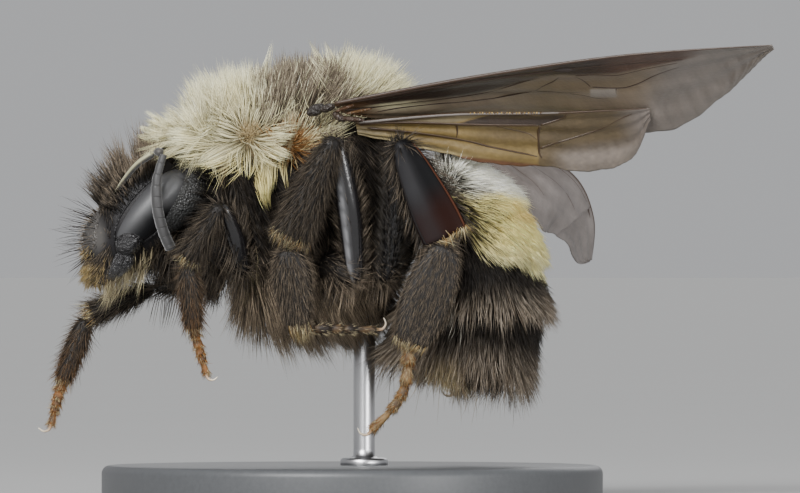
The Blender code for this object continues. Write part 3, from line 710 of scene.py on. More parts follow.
def claw_paths(path, size):
    """A pair of hooked claws at the end of the foot, spread to both sides and curling up and back."""
    toe = path[-1]
    run = unit(path[-1] - path[-2])
    hook = unit(np.cross(np.array([0, 1.0, 0]), run))
    hook = hook if hook[2] > 0 else -hook
    for turn in (-1, 1):
        spread = np.array([0, 0.30 * turn, 0]) * size
        yield [toe - run * 0.12, toe + run * 0.22 * size + spread * 0.7 + hook * 0.03,
               toe + run * 0.36 * size + spread + hook * 0.26 * size,
               toe + run * 0.26 * size + spread * 1.1 + hook * 0.52 * size]


# ---- skins of the trunk and the head ----
EYE_CENTRE, EYE_RADII, EYE_LEAN = (-8.38, 2.08, 12.25), (0.80, 0.78, 2.02), 42.0
RIM_RADII, RIM_POINTS, RIM_SIDES = (0.86, 2.08), 72, 8


def on_eye(p):
    """Places across and up the leaning eye, seen from the side, as shares of its radii."""
    lean = math.radians(EYE_LEAN)
    dx, dz = p[..., 0] - EYE_CENTRE[0], p[..., 2] - EYE_CENTRE[2]
    return ((dx * math.cos(lean) - dz * math.sin(lean)) / EYE_RADII[0],
            (dx * math.sin(lean) + dz * math.cos(lean)) / EYE_RADII[2])


def off_eye(p, grow):
    """True outside the outline of the eye, made larger by a factor."""
    across, up = on_eye(p)
    return np.where(np.abs(p[..., 1]) > 1.2, np.sqrt(across ** 2 + up ** 2) / grow, 9.0) > 1


def tube_between(path, radii):
    return limb_grid(path, [2 * r for r in radii], sides=28, rings=14, caps=(0.02, 0.02))


bee_skin = solid("bee_skin", UNDERCOAT, (thorax_skin.grid, thorax_tint(thorax_skin.grid)),
                 (abdomen_skin.grid, abdomen_tint(abdomen_skin.grid)),
                 *[(tube_between(*joint), DARK_SKIN) for joint in (NECK, THROAT, WAIST)])

# Painted sheen: the head's skin where the plate of the face sits is painted mid-grey, like the plate.
face_sheen = smooth(1.30, 0.35, np.hypot((head_skin.grid[..., 0] + 10.72) / 0.50,
                                        (head_skin.grid[..., 2] - 11.10) / 0.80))
head_colour = mix(SHELL, INK * 1.3, smooth(0.5, 0.2, DOWN) * smooth(0.7, 0.5, PLACE))
head_colour = mix(head_colour, [0.078, 0.073, 0.068], face_sheen)
head_shell = solid("bee_skin_head", CHITIN_MATT, (head_skin.grid, head_colour))


# ---- eyes, face and jaws ----
def ellipsoid_grid(centre, radii, lean, rings=40, sides=56, fullness=1.0):
    """Rings from the top pole to the bottom pole of an ellipsoid leaning about the Y axis."""
    lean = math.radians(lean)
    t = math.pi * (np.arange(rings) + 0.5) / rings
    a = TAU * np.arange(sides) / sides
    ring = np.sin(t)[:, None] ** fullness
    x = radii[0] * ring * np.cos(a)[None]
    y = radii[1] * ring * np.sin(a)[None]
    z = radii[2] * np.cos(t)[:, None] * np.ones_like(a)[None]
    return np.stack([x * math.cos(lean) + z * math.sin(lean) + centre[0], y + centre[1],
                     z * math.cos(lean) - x * math.sin(lean) + centre[2]], -1)


def on_head(x, z, side, proud):
    """Points on the side of the head's skin at the given x and z, standing proud of it."""
    half = head_skin.grid.reshape(-1, 3)
    keep = (half[:, 1] * side > 0.8)
    half, normal = half[keep], head_skin.normal.reshape(-1, 3)[keep]
    found = ((half[:, 0][None] - x[:, None]) ** 2 + (half[:, 2][None] - z[:, None]) ** 2).argmin(1)
    return np.stack([x, half[found, 1], z], -1) + normal[found] * proud


def make_eye(side, tag):
    grid = ellipsoid_grid(mirrored(EYE_CENTRE, side), EYE_RADII, EYE_LEAN, fullness=0.85)
    rearward, upward = on_eye(grid)
    # Painted reflection: the eye is painted mid-grey on its upper, forward side and near black on its lower,
    # rear side.
    shade = mix([0.058, 0.058, 0.060], [0.006, 0.006, 0.007],
                smooth(-0.35, 0.35, rearward - 1.1 * smooth(-0.3, 0.6, upward)))
    return solid("eye_%s_facets" % tag, EYE, (grid, shade))


def make_rim(side, tag):
    """A cord round the eye, laid on the head, and the bulge of the cheek behind it."""
    lean, a = math.radians(EYE_LEAN), TAU * np.arange(RIM_POINTS) / RIM_POINTS
    across, up = RIM_RADII[0] * np.cos(a), RIM_RADII[1] * np.sin(a)
    line = on_head(EYE_CENTRE[0] + across * math.cos(lean) + up * math.sin(lean),
                   EYE_CENTRE[2] - across * math.sin(lean) + up * math.cos(lean), side, 0.02)
    ahead = unit(np.roll(line, -1, 0) - np.roll(line, 1, 0))
    out = unit(line - mirrored(EYE_CENTRE, side))
    b = TAU * np.arange(RIM_SIDES) / RIM_SIDES
    ring = (line[:, None] + out[:, None] * (0.045 * np.cos(b))[None, :, None]
            + np.cross(ahead, out)[:, None] * (0.055 * np.sin(b))[None, :, None])
    bundle = Bundle()
    bundle.add(ring.reshape(-1, 3), SHELL,
               grid_faces(RIM_POINTS + 1, RIM_SIDES, True) % (RIM_POINTS * RIM_SIDES))
    bundle.add_tube(ellipsoid_grid(mirrored((-7.25, 1.72, 12.62), side), (0.92, 0.84, 1.80), 40, rings=44,
                                   fullness=0.9), (0.026, 0.026, 0.0255))
    return bundle.build("eye_%s_rim" % tag, CHITIN_PITTED)


def make_jaw(side, tag):
    """A grooved, pitted jaw with a reddish end, and the wrinkled base it hangs from."""
    rings, sides = 40, 48
    path = mirrored([(-9.20, 1.86, 10.55), (-9.58, 1.90, 10.02), (-9.98, 1.50, 9.58), (-10.36, 0.75, 9.28)],
                    side)
    grid = limb_grid(path, [0.78, 0.90, 0.74, 0.42], [0.70, 0.70, 0.54, 0.34], (0.4, side, -0.3),
                     sides=sides, rings=rings, caps=(0.25, 0.14), power=2.2)
    a, run = np.arange(sides)[None] / sides * TAU, np.linspace(0, 1, rings)[:, None]
    groove = 0.055 * np.exp(-(np.sin(a * 3.5 + 0.4) / 0.30) ** 2) * smooth(0.22, 0.5, run)
    pits = 0.012 * np.sin(a * 17) * np.sin(run * 60) * (1 - smooth(0.3, 0.6, run))
    mid = grid.mean(1, keepdims=True)
    return solid("mandible_%s_shell" % tag, CHITIN_ROUGH,
                 (mid + (grid - mid) * (1 - groove + pits)[..., None],
                  mix(SHELL, BROWN * 0.5, np.broadcast_to(smooth(0.7, 1, run), (rings, sides)))),
                 (ellipsoid_grid(mirrored((-9.28, 1.90, 10.92), side), (0.60, 0.88, 0.78), 42), SHELL * 0.8))


def feeler_parts(side):
    """A long first joint with a painted pale highlight along its front, a bead, and ten joints that hang
    from it.
    """
    grid = limb_grid(mirrored([(-9.98, 1.35, 12.70), (-9.52, 2.35, 13.40), (-8.94, 2.95, 14.08),
                               (-8.25, 3.08, 14.55)], side),
                     [0.19, 0.22, 0.25, 0.31], [0.19, 0.22, 0.25, 0.30], rings=26, caps=(0.06, 0.08))
    # The pale yellow along the first joint's front is a painted highlight.
    lit = smooth(0.15, 0.8, outward(grid) @ unit(mirrored((-0.8, 0.35, 0.75), side)))
    yield grid, mix([0.035, 0.033, 0.030], [0.40, 0.38, 0.22], lit)
    yield limb_grid(mirrored([(-8.22, 3.06, 14.56), (-8.05, 3.18, 14.60), (-7.90, 3.28, 14.52)], side),
                    [0.26, 0.36, 0.30], sides=14, rings=10, caps=(0.3, 0.3)), (0.05, 0.046, 0.042)
    path = mirrored([(-7.84, 3.34, 14.50), (-8.12, 3.42, 13.45), (-8.10, 3.42, 12.30), (-7.86, 3.36, 11.30),
                     (-7.52, 3.30, 10.52)], side)
    joints = np.linspace(0, 1, 11)
    for start, end in zip(joints[:-1], joints[1:]):
        thick = 0.30 + 0.16 * smooth(0, 0.35, start)
        yield limb_grid(along(path, np.linspace(start, min(end + 0.014, 1.0), 4)),
                        [thick * 0.97, thick, thick * 1.01, thick], sides=18, rings=14,
                        caps=(0.03, 0.45 if end == 1 else 0.03)), (0.036, 0.035, 0.035)


eyes, rims, jaws, feelers = {}, {}, {}, {}
for side, tag in SIDES:
    eyes[tag] = make_eye(side, tag)
    rims[tag] = make_rim(side, tag)
    jaws[tag] = make_jaw(side, tag)
    feelers[tag] = solid("feeler_%s_joints" % tag, FEELER, *feeler_parts(side))

# The plate of the face and the lip: centre, radii and lean.
CLYPEUS = (-10.62, 0, 11.12), (0.62, 1.82, 1.05), 14
LIP = (-10.70, 0, 9.78), (0.36, 0.90, 0.46), 12
# The plate's mid-grey is painted sheen over its black shell.
clypeus = solid("clypeus_shell", CHITIN_PITTED,
                (ellipsoid_grid(*CLYPEUS, rings=48, sides=64, fullness=0.85), (0.070, 0.064, 0.058)))
labrum = solid("labrum_shell", CHITIN, (ellipsoid_grid(*LIP, rings=28, sides=40, fullness=0.8), BROWN * 0.5))
ocelli = solid("small_eyes", EYE, *[
    (ellipsoid_grid(place, (0.15, 0.15, 0.13), 0, rings=12, sides=18), (0.03, 0.015, 0.008))
    for place in ((-9.72, 0, 13.86), (-9.45, 0.42, 13.98), (-9.45, -0.42, 13.98))])


# ---- legs ----
def leg_rod(grid, side, pair):
    """A glossy femur, with a painted grey highlight along its forward edge on all but the hind legs."""
    edge = outward(grid) @ unit(mirrored((-0.62, 0.78, 0.0), side))
    # The grey streak along the forward edge, broken by noise, is a painted highlight.
    painted_highlight = smooth(0.86, 0.995, edge) * (0.65 + 0.35 * ripple(grid, 0.18, 0.5)) * (pair != "hind")
    return grid, mix(SHELL * 0.8, [0.30, 0.30, 0.31], 0.85 * painted_highlight)


def leg_plate(grid, side):
    """A hind tibia: a bare dark plate, redder towards its end, with a painted grey reflection over its
    forward side, between two raised edges.
    """
    low = smooth(0.45, 0.75, np.linspace(0, 1, len(grid)))[:, None] * np.ones(grid.shape[1])
    painted_reflection_side = outward(grid) @ unit(mirrored((-0.8, 0.5, 0.25), side))
    # The grey over the forward side, fading towards the end, is a painted reflection.
    yield grid, mix(mix([0.006, 0.006, 0.0065], [0.014, 0.0045, 0.003], low), [0.024, 0.0235, 0.025],
                    smooth(0.35, 0.85, painted_reflection_side) * (1 - 0.6 * low))
    outer = np.argmax(grid[len(grid) // 2, :, 1] * side)
    for shift, tone in ((5, (0.06, 0.022, 0.012)), (-5, (0.012, 0.010, 0.010))):
        edge = grid[3:-1, (outer + shift) % grid.shape[1]]
        yield limb_grid(edge, [0.06, 0.08, 0.09, 0.08], sides=8, rings=40, caps=(0.05, 0.05)), tone


FOOT_TONES = {"fore": ([0.06, 0.030, 0.012], [0.24, 0.105, 0.032]),
              "mid": ([0.016, 0.010, 0.007], [0.09, 0.055, 0.025]),
              "hind": ([0.06, 0.036, 0.017], [0.24, 0.15, 0.065])}
CLAW_TINT = mix(ORANGE * 0.5, [0.74, 0.68, 0.54], np.linspace(0, 1, 16)[:, None] * np.ones(10))
leg_skins, leg_pieces = {}, []
for tag, (side, size, *places) in LEGS.items():
    pair = tag.split("_")[0]
    shapes, foot = leg_shapes(pair, side, size, mirrored(places, side))
    joints = list(foot_joints(foot, min(size, 1.0)))
    leg_skins[tag] = {name: Skin(grid, (0.02, 0.02 + 0.17 * i, 0.98, 0.17 + 0.17 * i))
                      for i, (name, grid) in enumerate(shapes.items())}
    leg_skins[tag]["foot"] = [Skin(grid, (0.02 + 0.196 * i, 0.72, 0.18 + 0.196 * i, 0.98))
                              for i, grid in enumerate(joints)]
    parts = [("rod", CHITIN_GLOSS, [leg_rod(shapes.pop("femur"), side, pair)])]
    if pair == "hind":
        parts.append(("plate", PLATE, leg_plate(shapes.pop("tibia"), side)))
    parts.append(("shell", CHITIN_MATT, [(grid, INK * 2) for grid in shapes.values()]))
    parts.append(("foot", CHITIN_MATT, [
        (grid, mix(*FOOT_TONES[pair], smooth(-0.5, 0.9, ripple(grid, 0.4, 1.0)))) for grid in joints]))
    parts.append(("claws", CHITIN, [
        (limb_grid(path, [0.13, 0.12, 0.08, 0.03], sides=10, rings=16, caps=(0.1, 0.1)), CLAW_TINT)
        for path in claw_paths(foot, min(size, 1.0))]))
    leg_pieces += [solid("leg_%s_%s" % (tag, kind), material, *tubes) for kind, material, tubes in parts]


# ---- coats ----
def away(r, centre):
    """Unit directions along the surface away from a centre, mirrored to each root's own side."""
    middle = np.argmin((r.x - centre[0]) ** 2 + (r.z - centre[1]) ** 2 + 4.0 * (r.out < 1.5))
    goal = np.stack([np.full(r.n, centre[0]), r.out[middle] * r.side, np.full(r.n, centre[1])], -1)
    gap = r.pos - goal
    return into_plane(gap, r.normal), np.linalg.norm(gap, axis=1)


# Places in x and z that the hair of the thorax radiates from, each with its reach.
THORAX_FANS = (((-6.05, 15.85), 1.25), ((-4.25, 15.32), 1.5), ((-2.52, 14.90), 0.80), ((0.40, 16.85), 1.6))


def fans(r):
    """Directions of hairs that radiate from the centres of the thorax."""
    flow = np.zeros((r.n, 3))
    for centre, reach in THORAX_FANS:
        way, gap = away(r, centre)
        flow += way * (np.exp(-(gap / reach) ** 2) + 2e-4)[:, None]
    return unit(flow)


def sway(r, flow, amount, scale, seed):
    """The flow turned about the normal by smooth noise, so neighbouring locks part and cross."""
    turn = amount * (ripple(r.pos, scale, seed) + 0.6 * ripple(r.pos, scale * 0.37, seed + 1.9))
    return flow * np.cos(turn)[:, None] + np.cross(r.normal, flow) * np.sin(turn)[:, None]


# The orange spot below the wing: its centre in x and z.  The flank starts this far from the middle.
SPOT, FLANK = (-2.6, 14.9), 2.0
# Widths of the most common hairs.
FINE, MEDIUM, STOUT = 0.034, 0.036, 0.038


def grow_thorax():
    pale_coat = Coat("coat_thorax_pale", steps=3)
    dark_coat = Coat("coat_thorax_dark")

    # Cream hair and the dark band: an upper layer that keeps to the flow and a lower, wilder one.
    for share, amount, seed, first_lift, scale in ((0.64, 0.26, 0.3, 0.40, 1.0),
                                                   (0.36, 0.60, 2.2, 0.75, 0.78)):
        r = thorax_skin.scatter(lambda r: 235 * share * thorax_marks(r.pos)[0] * (r.place < 0.97)
                                * (1 + 0.8 * smooth(-5.8, -6.6, r.x)))
        band = thorax_marks(r.pos)[1]
        high = smooth(15.9, 16.9, r.z)
        flow = sway(r, fans(r), amount, 0.55, seed)
        drop = smooth(14.5, 13.9, r.z) * smooth(-5.0, -4.3, r.x)
        flow = unit(flow * column(1 - drop) + r.steer((-0.1, 0, -1)) * column(drop))
        front = smooth(-5.6, -6.4, r.x)
        crest = smooth(3.9, 2.9, r.out) * smooth(15.3, 16.0, r.z)
        flow = unit(flow + np.array([-0.25, 0, 0.0]) * column(front))
        upright = unit(np.stack([0.24 * (r.x + 3.9), 0.06 * r.y, np.full(r.n, 0.8)], -1)
                       + RNG.normal(0, 0.12, (r.n, 3)))
        flow = unit(flow * column(1 - 0.9 * crest) + upright * column(1.1 * crest))
        lift = first_lift + 0.60 * np.maximum(high, 0.4 * crest) + 0.25 * front
        near_spot = r.near((-3.05, 15.0), (0.92, 0.72)) * (r.out > FLANK)
        length = (2.20 - 0.15 * band - 0.35 * drop - 0.38 * front - 0.25 * crest * smooth(-2.9, -3.6, r.x)
                  - 1.65 * near_spot - 0.8 * smooth(0.07, 0.02, r.place)) * scale
        dark = r.pick(np.clip(band * 1.02, 0, 0.93), 1.0, 0.0)[:, 0]
        # The cream hairs' dark roots are partly their own darker bases, partly painted shade deep in the
        # coat.
        root = mix(CREAM_DEEP * [0.50, 0.54, 0.54], SOOT * 1.5, dark)
        low = np.clip(smooth(15.3, 14.0, r.z) + 0.25 * ripple(r.pos, 0.9), 0, 1)
        tip = mix(mix(CREAM, YELLOW, low), r.pick(0.5, SMOKE * 1.7 + [0, 0.02, 0.02], SMOKE * 0.6), dark)
        spot = r.near(SPOT, (0.36, 0.36)) * (r.out > FLANK)
        root = mix(root, ORANGE * 0.6, np.clip(spot * 1.3, 0, 1))
        tip = mix(tip, r.pick(0.5, ORANGE * 0.8, CREAM_DEEP), np.clip(spot * 1.4, 0, 0.95))
        length = length * (1 - 0.5 * np.clip(spot * 1.5, 0, 1))
        side_bend = sway(r, flow, 1.3, 0.8, seed + 1) * column(0.16 * (1 - high))
        pale_coat.grow(r, r.normal * column(lift) + flow, length, STOUT, root, tip,
                       bend=side_bend - flow * column(0.10 * high) - r.normal * 0.08,
                       clump=(np.where((high < 0.5) & (crest < 0.3), 0.80, 0.42), 34), curl=0.045)

    # The spot's own hair, and the short hair at the middle of the whorl ahead of it.
    r = thorax_skin.scatter(lambda r: 420 * r.near(SPOT, (0.52, 0.44)) * (r.out > FLANK))
    way, gap = away(r, (-2.62, 14.95))
    pale_coat.grow(r, r.normal * 0.75 + way, 0.60 + 0.30 * r.chance(), FINE, ORANGE * 0.15,
                   mix(ORANGE * 0.5, r.pick(0.5, CREAM_DEEP, ORANGE * 0.7), smooth(0.15, 0.8, gap)),
                   clump=(0.4, 9), curl=0.16)
    r = thorax_skin.scatter(lambda r: 600 * r.near((-4.25, 15.32), (0.30, 0.30)) * (r.out > FLANK))
    pale_coat.grow(r, r.normal + RNG.normal(0, 0.45, (r.n, 3)), 0.45, 0.032, CREAM_DEEP * 0.4,
                   CREAM_DEEP * 0.9, curl=0.1)
    # Long pointed locks over the cream, then the fringe under its front.
    r = thorax_skin.scatter(lambda r: 34 * thorax_marks(r.pos)[0] * (1 - thorax_marks(r.pos)[1])
                            * smooth(15.4, 16.2, r.z) * (r.place > 0.06) * (r.place < 0.95))
    flow = unit(fans(r) + r.steer(UP) * 0.8)
    # The locks' dark roots are partly their own darker bases, partly painted shade deep in the coat.
    pale_coat.grow(r, r.normal * 0.95 + flow, 2.25 - 0.45 * smooth(-5.6, -6.4, r.x), 0.042,
                   CREAM_DEEP * 0.6, CREAM, clump=(0.85, 6), curl=0.03)
    r = thorax_skin.scatter(lambda r: 60 * smooth(-8.4, -8.0, r.x) * smooth(-4.6, -5.2, r.x)
                            * smooth(14.9, 14.6, r.z) * smooth(13.9, 14.2, r.z))
    pale_coat.grow(r, r.normal * 0.6 + r.steer((-0.4, 0, -1)), 0.8, FINE, CREAM_DEEP * 0.3,
                   CREAM_DEEP * 0.75, curl=0.1)

    # Black hair of the flanks, longer and greyer below.
    r = thorax_skin.scatter(lambda r: 120 * (1 - thorax_marks(r.pos)[0]) * (r.place > 0.03))
    under = smooth(11.4, 9.0, r.z)
    flow = r.steer((0.55, 0, -1))
    grey = np.clip(under * (0.35 + 0.9 * r.chance()) + 0.35 * (r.chance() < 0.25), 0, 1)
    tip = r.pick(0.60 * under, SMOKE * 2.8, mix(SOOT * 1.2, SMOKE, grey))
    dark_coat.grow(r, r.normal * column(0.50 + 0.35 * under) + flow, 1.10 + 0.95 * under, MEDIUM, INK, tip,
                   bend=(0.05, 0, -0.2), clump=(0.5, 26), curl=0.07)
    # The thorax's rear end, above and below, then a pale tuft behind the fore leg.
    r = thorax_skin.scatter(lambda r: 80 * smooth(0.90, 0.94, r.place) * smooth(11.5, 12.5, r.z))
    dark_coat.grow(r, r.normal * 0.8 + [0.3, 0, 0.5], 0.9 + 0.4 * r.chance(), MEDIUM, INK,
                   mix(SOOT, SMOKE * 1.4, r.chance()), clump=(0.4, 10), curl=0.08)
    r = thorax_skin.scatter(lambda r: 70 * smooth(-0.2, 0.5, r.x) * smooth(12.0, 11.0, r.z))
    dark_coat.grow(r, r.normal * 0.5 + [0.75, 0, -0.55], 1.9, STOUT, INK, mix(SOOT, SMOKE, r.chance()),
                   bend=(-0.05, 0, -0.2), clump=(0.3, 10), curl=0.08)
    r = thorax_skin.scatter(lambda r: 48 * smooth(11.1, 10.6, r.z) * smooth(9.3, 9.8, r.z) * (r.x < -4.0)
                            * (r.x > -5.6))
    dark_coat.grow(r, r.normal * 0.55 + r.steer((0.4, 0, -1)), 1.5, 0.04, SMOKE * 0.4, (0.60, 0.51, 0.29),
                   clump=(0.6, 12), curl=0.06)
    return pale_coat.build() + dark_coat.build()


def grow_abdomen():
    pale_coat = Coat("coat_abdomen_pale")
    dark_coat = Coat("coat_abdomen_dark")

    # White and yellow hair, with dark roots and stray dark hairs towards the front of the flank.
    r = abdomen_skin.scatter(lambda r: 300 * abdomen_marks(r.pos)[0])
    white = abdomen_marks(r.pos)[1]
    flow = unit(r.rear + r.steer((1.0, 0, -0.25)) * column(0.8 * smooth(0.12, 0.4, r.down)))
    golden = np.exp(-((r.z - 12.45) / 0.42) ** 2) * smooth(0.34, 0.12, r.down)
    tip = mix(mix(YELLOW, CREAM * [1, 0.98, 0.82], smooth(11.6, 10.2, r.z)), WHITE, white)
    tip = mix(tip, (0.78, 0.58, 0.20), np.clip(golden * (1 - white), 0, 0.9))
    front = smooth(6.1, 4.9, r.x) * smooth(0.2, 0.45, r.down)
    root = mix(mix(YELLOW * [0.92, 0.88, 0.85], WHITE * 0.97, 0.95 * white), INK * 3, front)
    stray = (r.chance() < 0.05 + 0.35 * front) * smooth(0.16, 0.3, r.down)
    pale_coat.grow(r, r.normal * 0.50 + flow, 1.05 + 0.30 * front, STOUT, mix(root, INK * 2, stray * 0.92),
                   mix(tip, SOOT * 1.4, stray * 0.92), bend=r.normal * -0.10, clump=(0.35, 22), curl=0.03)
    r = abdomen_skin.scatter(lambda r: 120 * smooth(4.4, 4.0, r.x) * smooth(12.4, 12.9, r.z)
                             * smooth(0.03, 0.08, r.place))
    pale_coat.grow(r, r.normal * 0.9 + [0.25, 0, 0.5], 1.0 + 0.5 * r.chance(), MEDIUM, INK * 3,
                   r.pick(0.6, WHITE, SOOT), bend=(0.2, 0, 0), clump=(0.3, 9), curl=0.08)

    # Black hair, longest at the end of each segment, so the rear ones overlap like tiers.
    r = abdomen_skin.scatter(lambda r: (100 + 40 * smooth(0.55, 0.8, r.place))
                             * (1 - abdomen_marks(r.pos)[0]) * smooth(0.02, 0.06, r.place))
    tier = np.zeros(r.n)
    for start, end in zip((0.0,) + SEGMENT_ENDS, SEGMENT_ENDS + (1.0,)):
        inside = (r.place >= start) & (r.place < end)
        tier[inside] = (r.place[inside] - start) / (end - start)
    late = smooth(0.5, 0.62, r.place)
    belly = smooth(0.55, 0.8, r.down)
    back = smooth(0.45, 0.15, r.down)
    end = smooth(0.62, 0.80, r.place)
    length = (0.80 + late * (0.15 + 0.62 * smooth(0.35, 1.0, tier) * (1 - 0.5 * back * (1 - end)))
              + 0.30 * belly * (1 - 0.8 * end) + 0.26 * end * (1 + 1.1 * back))
    length = length * (1 - 0.38 * smooth(0.84, 0.96, r.place))
    flow = unit(r.rear + r.steer((1.0, 0, -0.1)) * column(0.55 * (1 - late))
                + r.steer((0.10, 0, -1)) * column(0.5 * late * (1 - 0.8 * back)))
    lift = (0.32 + 0.22 * late * smooth(0.25, 1, tier) + 0.35 * smooth(0.60, 0.85, r.place)
            + 0.40 * back * late)
    # Paler tips, most at each segment's end and on the belly: partly the hairs' own grey-brown, partly
    # painted glints.
    glow = late * smooth(0.25, 1.0, tier) + 0.35 * belly
    tip = mix(SOOT * 1.2, r.pick(0.55, SMOKE * 2.5 + [0, 0.03, 0.06], SMOKE * 1.3),
              np.clip(glow * (0.35 + 1.1 * r.chance()), 0, 1))
    patch = np.exp(-((r.x - 4.0) / 0.55) ** 2) * smooth(6.9, 6.3, r.z) * (r.chance() < 0.85)
    dark_coat.grow(r, r.normal * column(lift) + flow, length, STOUT, INK,
                   mix(tip, (0.82, 0.64, 0.36), patch * 0.95), bend=-UP * 0.05, clump=(0.35, 9), curl=0.06)
    # Bristles of the last segment, the golden patch under it, and a few pale hairs beside the patch.
    r = abdomen_skin.scatter(lambda r: 5.0 * smooth(0.78, 0.88, r.place))
    dark_coat.grow(r, r.normal * 0.55 + r.rear * 0.3 + [0.05, 0, -1.0], 1.6 + 0.5 * r.chance(), FINE,
                   SOOT, SMOKE * 2.8, curl=0.05)
    r = abdomen_skin.scatter(lambda r: 330 * np.exp(-((r.x - 3.90) / 0.42) ** 2) * smooth(6.20, 5.90, r.z)
                             * smooth(0.3, -0.3, r.y))
    dark_coat.grow(r, r.normal * 0.8 + [0.10, -0.15, -0.75], 1.05 + 0.35 * r.chance(), MEDIUM, GOLD * 0.6,
                   r.pick(0.7, PALE_STRAW, TAN), clump=(0.4, 9), curl=0.06)
    r = abdomen_skin.scatter(lambda r: 22 * r.near((4.3, 8.2), (0.35, 0.5)) * (r.out > 1))
    dark_coat.grow(r, r.normal * 0.5 + [-0.1, 0, -1.0], 1.2, MEDIUM, SOOT, (0.66, 0.62, 0.52), curl=0.05)
    return pale_coat.build() + dark_coat.build()


# The line that the first joint of the feeler lies on, in x and z, where the crown's hair is short.
SCAPE_START, SCAPE_WAY = np.array([-9.98, 12.70]), np.array([1.73, 1.85]) / 2.533


def crown_density(r):
    """Hair on the upper head, clear of the eyes, of the face's plate and of the cheek beside it."""
    tall = 1.50 - 0.55 * smooth(1.3, 0.7, r.out)
    radii = np.stack([0 * tall + 1.5, 0 * tall + 1.95, tall], -1)
    face = np.linalg.norm((r.pos - [-10.75, 0, 11.30]) / radii, axis=1)
    flank = (smooth(1.15, 0.90, np.hypot((r.x + 10.45) / 0.95, (r.z - 11.20) / 1.00))
             * smooth(1.35, 1.70, r.out))
    clear = off_eye(r.pos, 1.09) * (face > 1) * (1 - flank)
    return 130 * (1 - smooth(0.44, 0.52, r.down)) * (1 - smooth(0.66, 0.76, r.place)) * clear


def bare(r):
    """0 over the plate of the face seen from the side, 1 well clear of it."""
    return smooth(0.85, 1.15, np.hypot((r.x + 10.75) / 0.48, (r.z - 11.10) / 0.80))


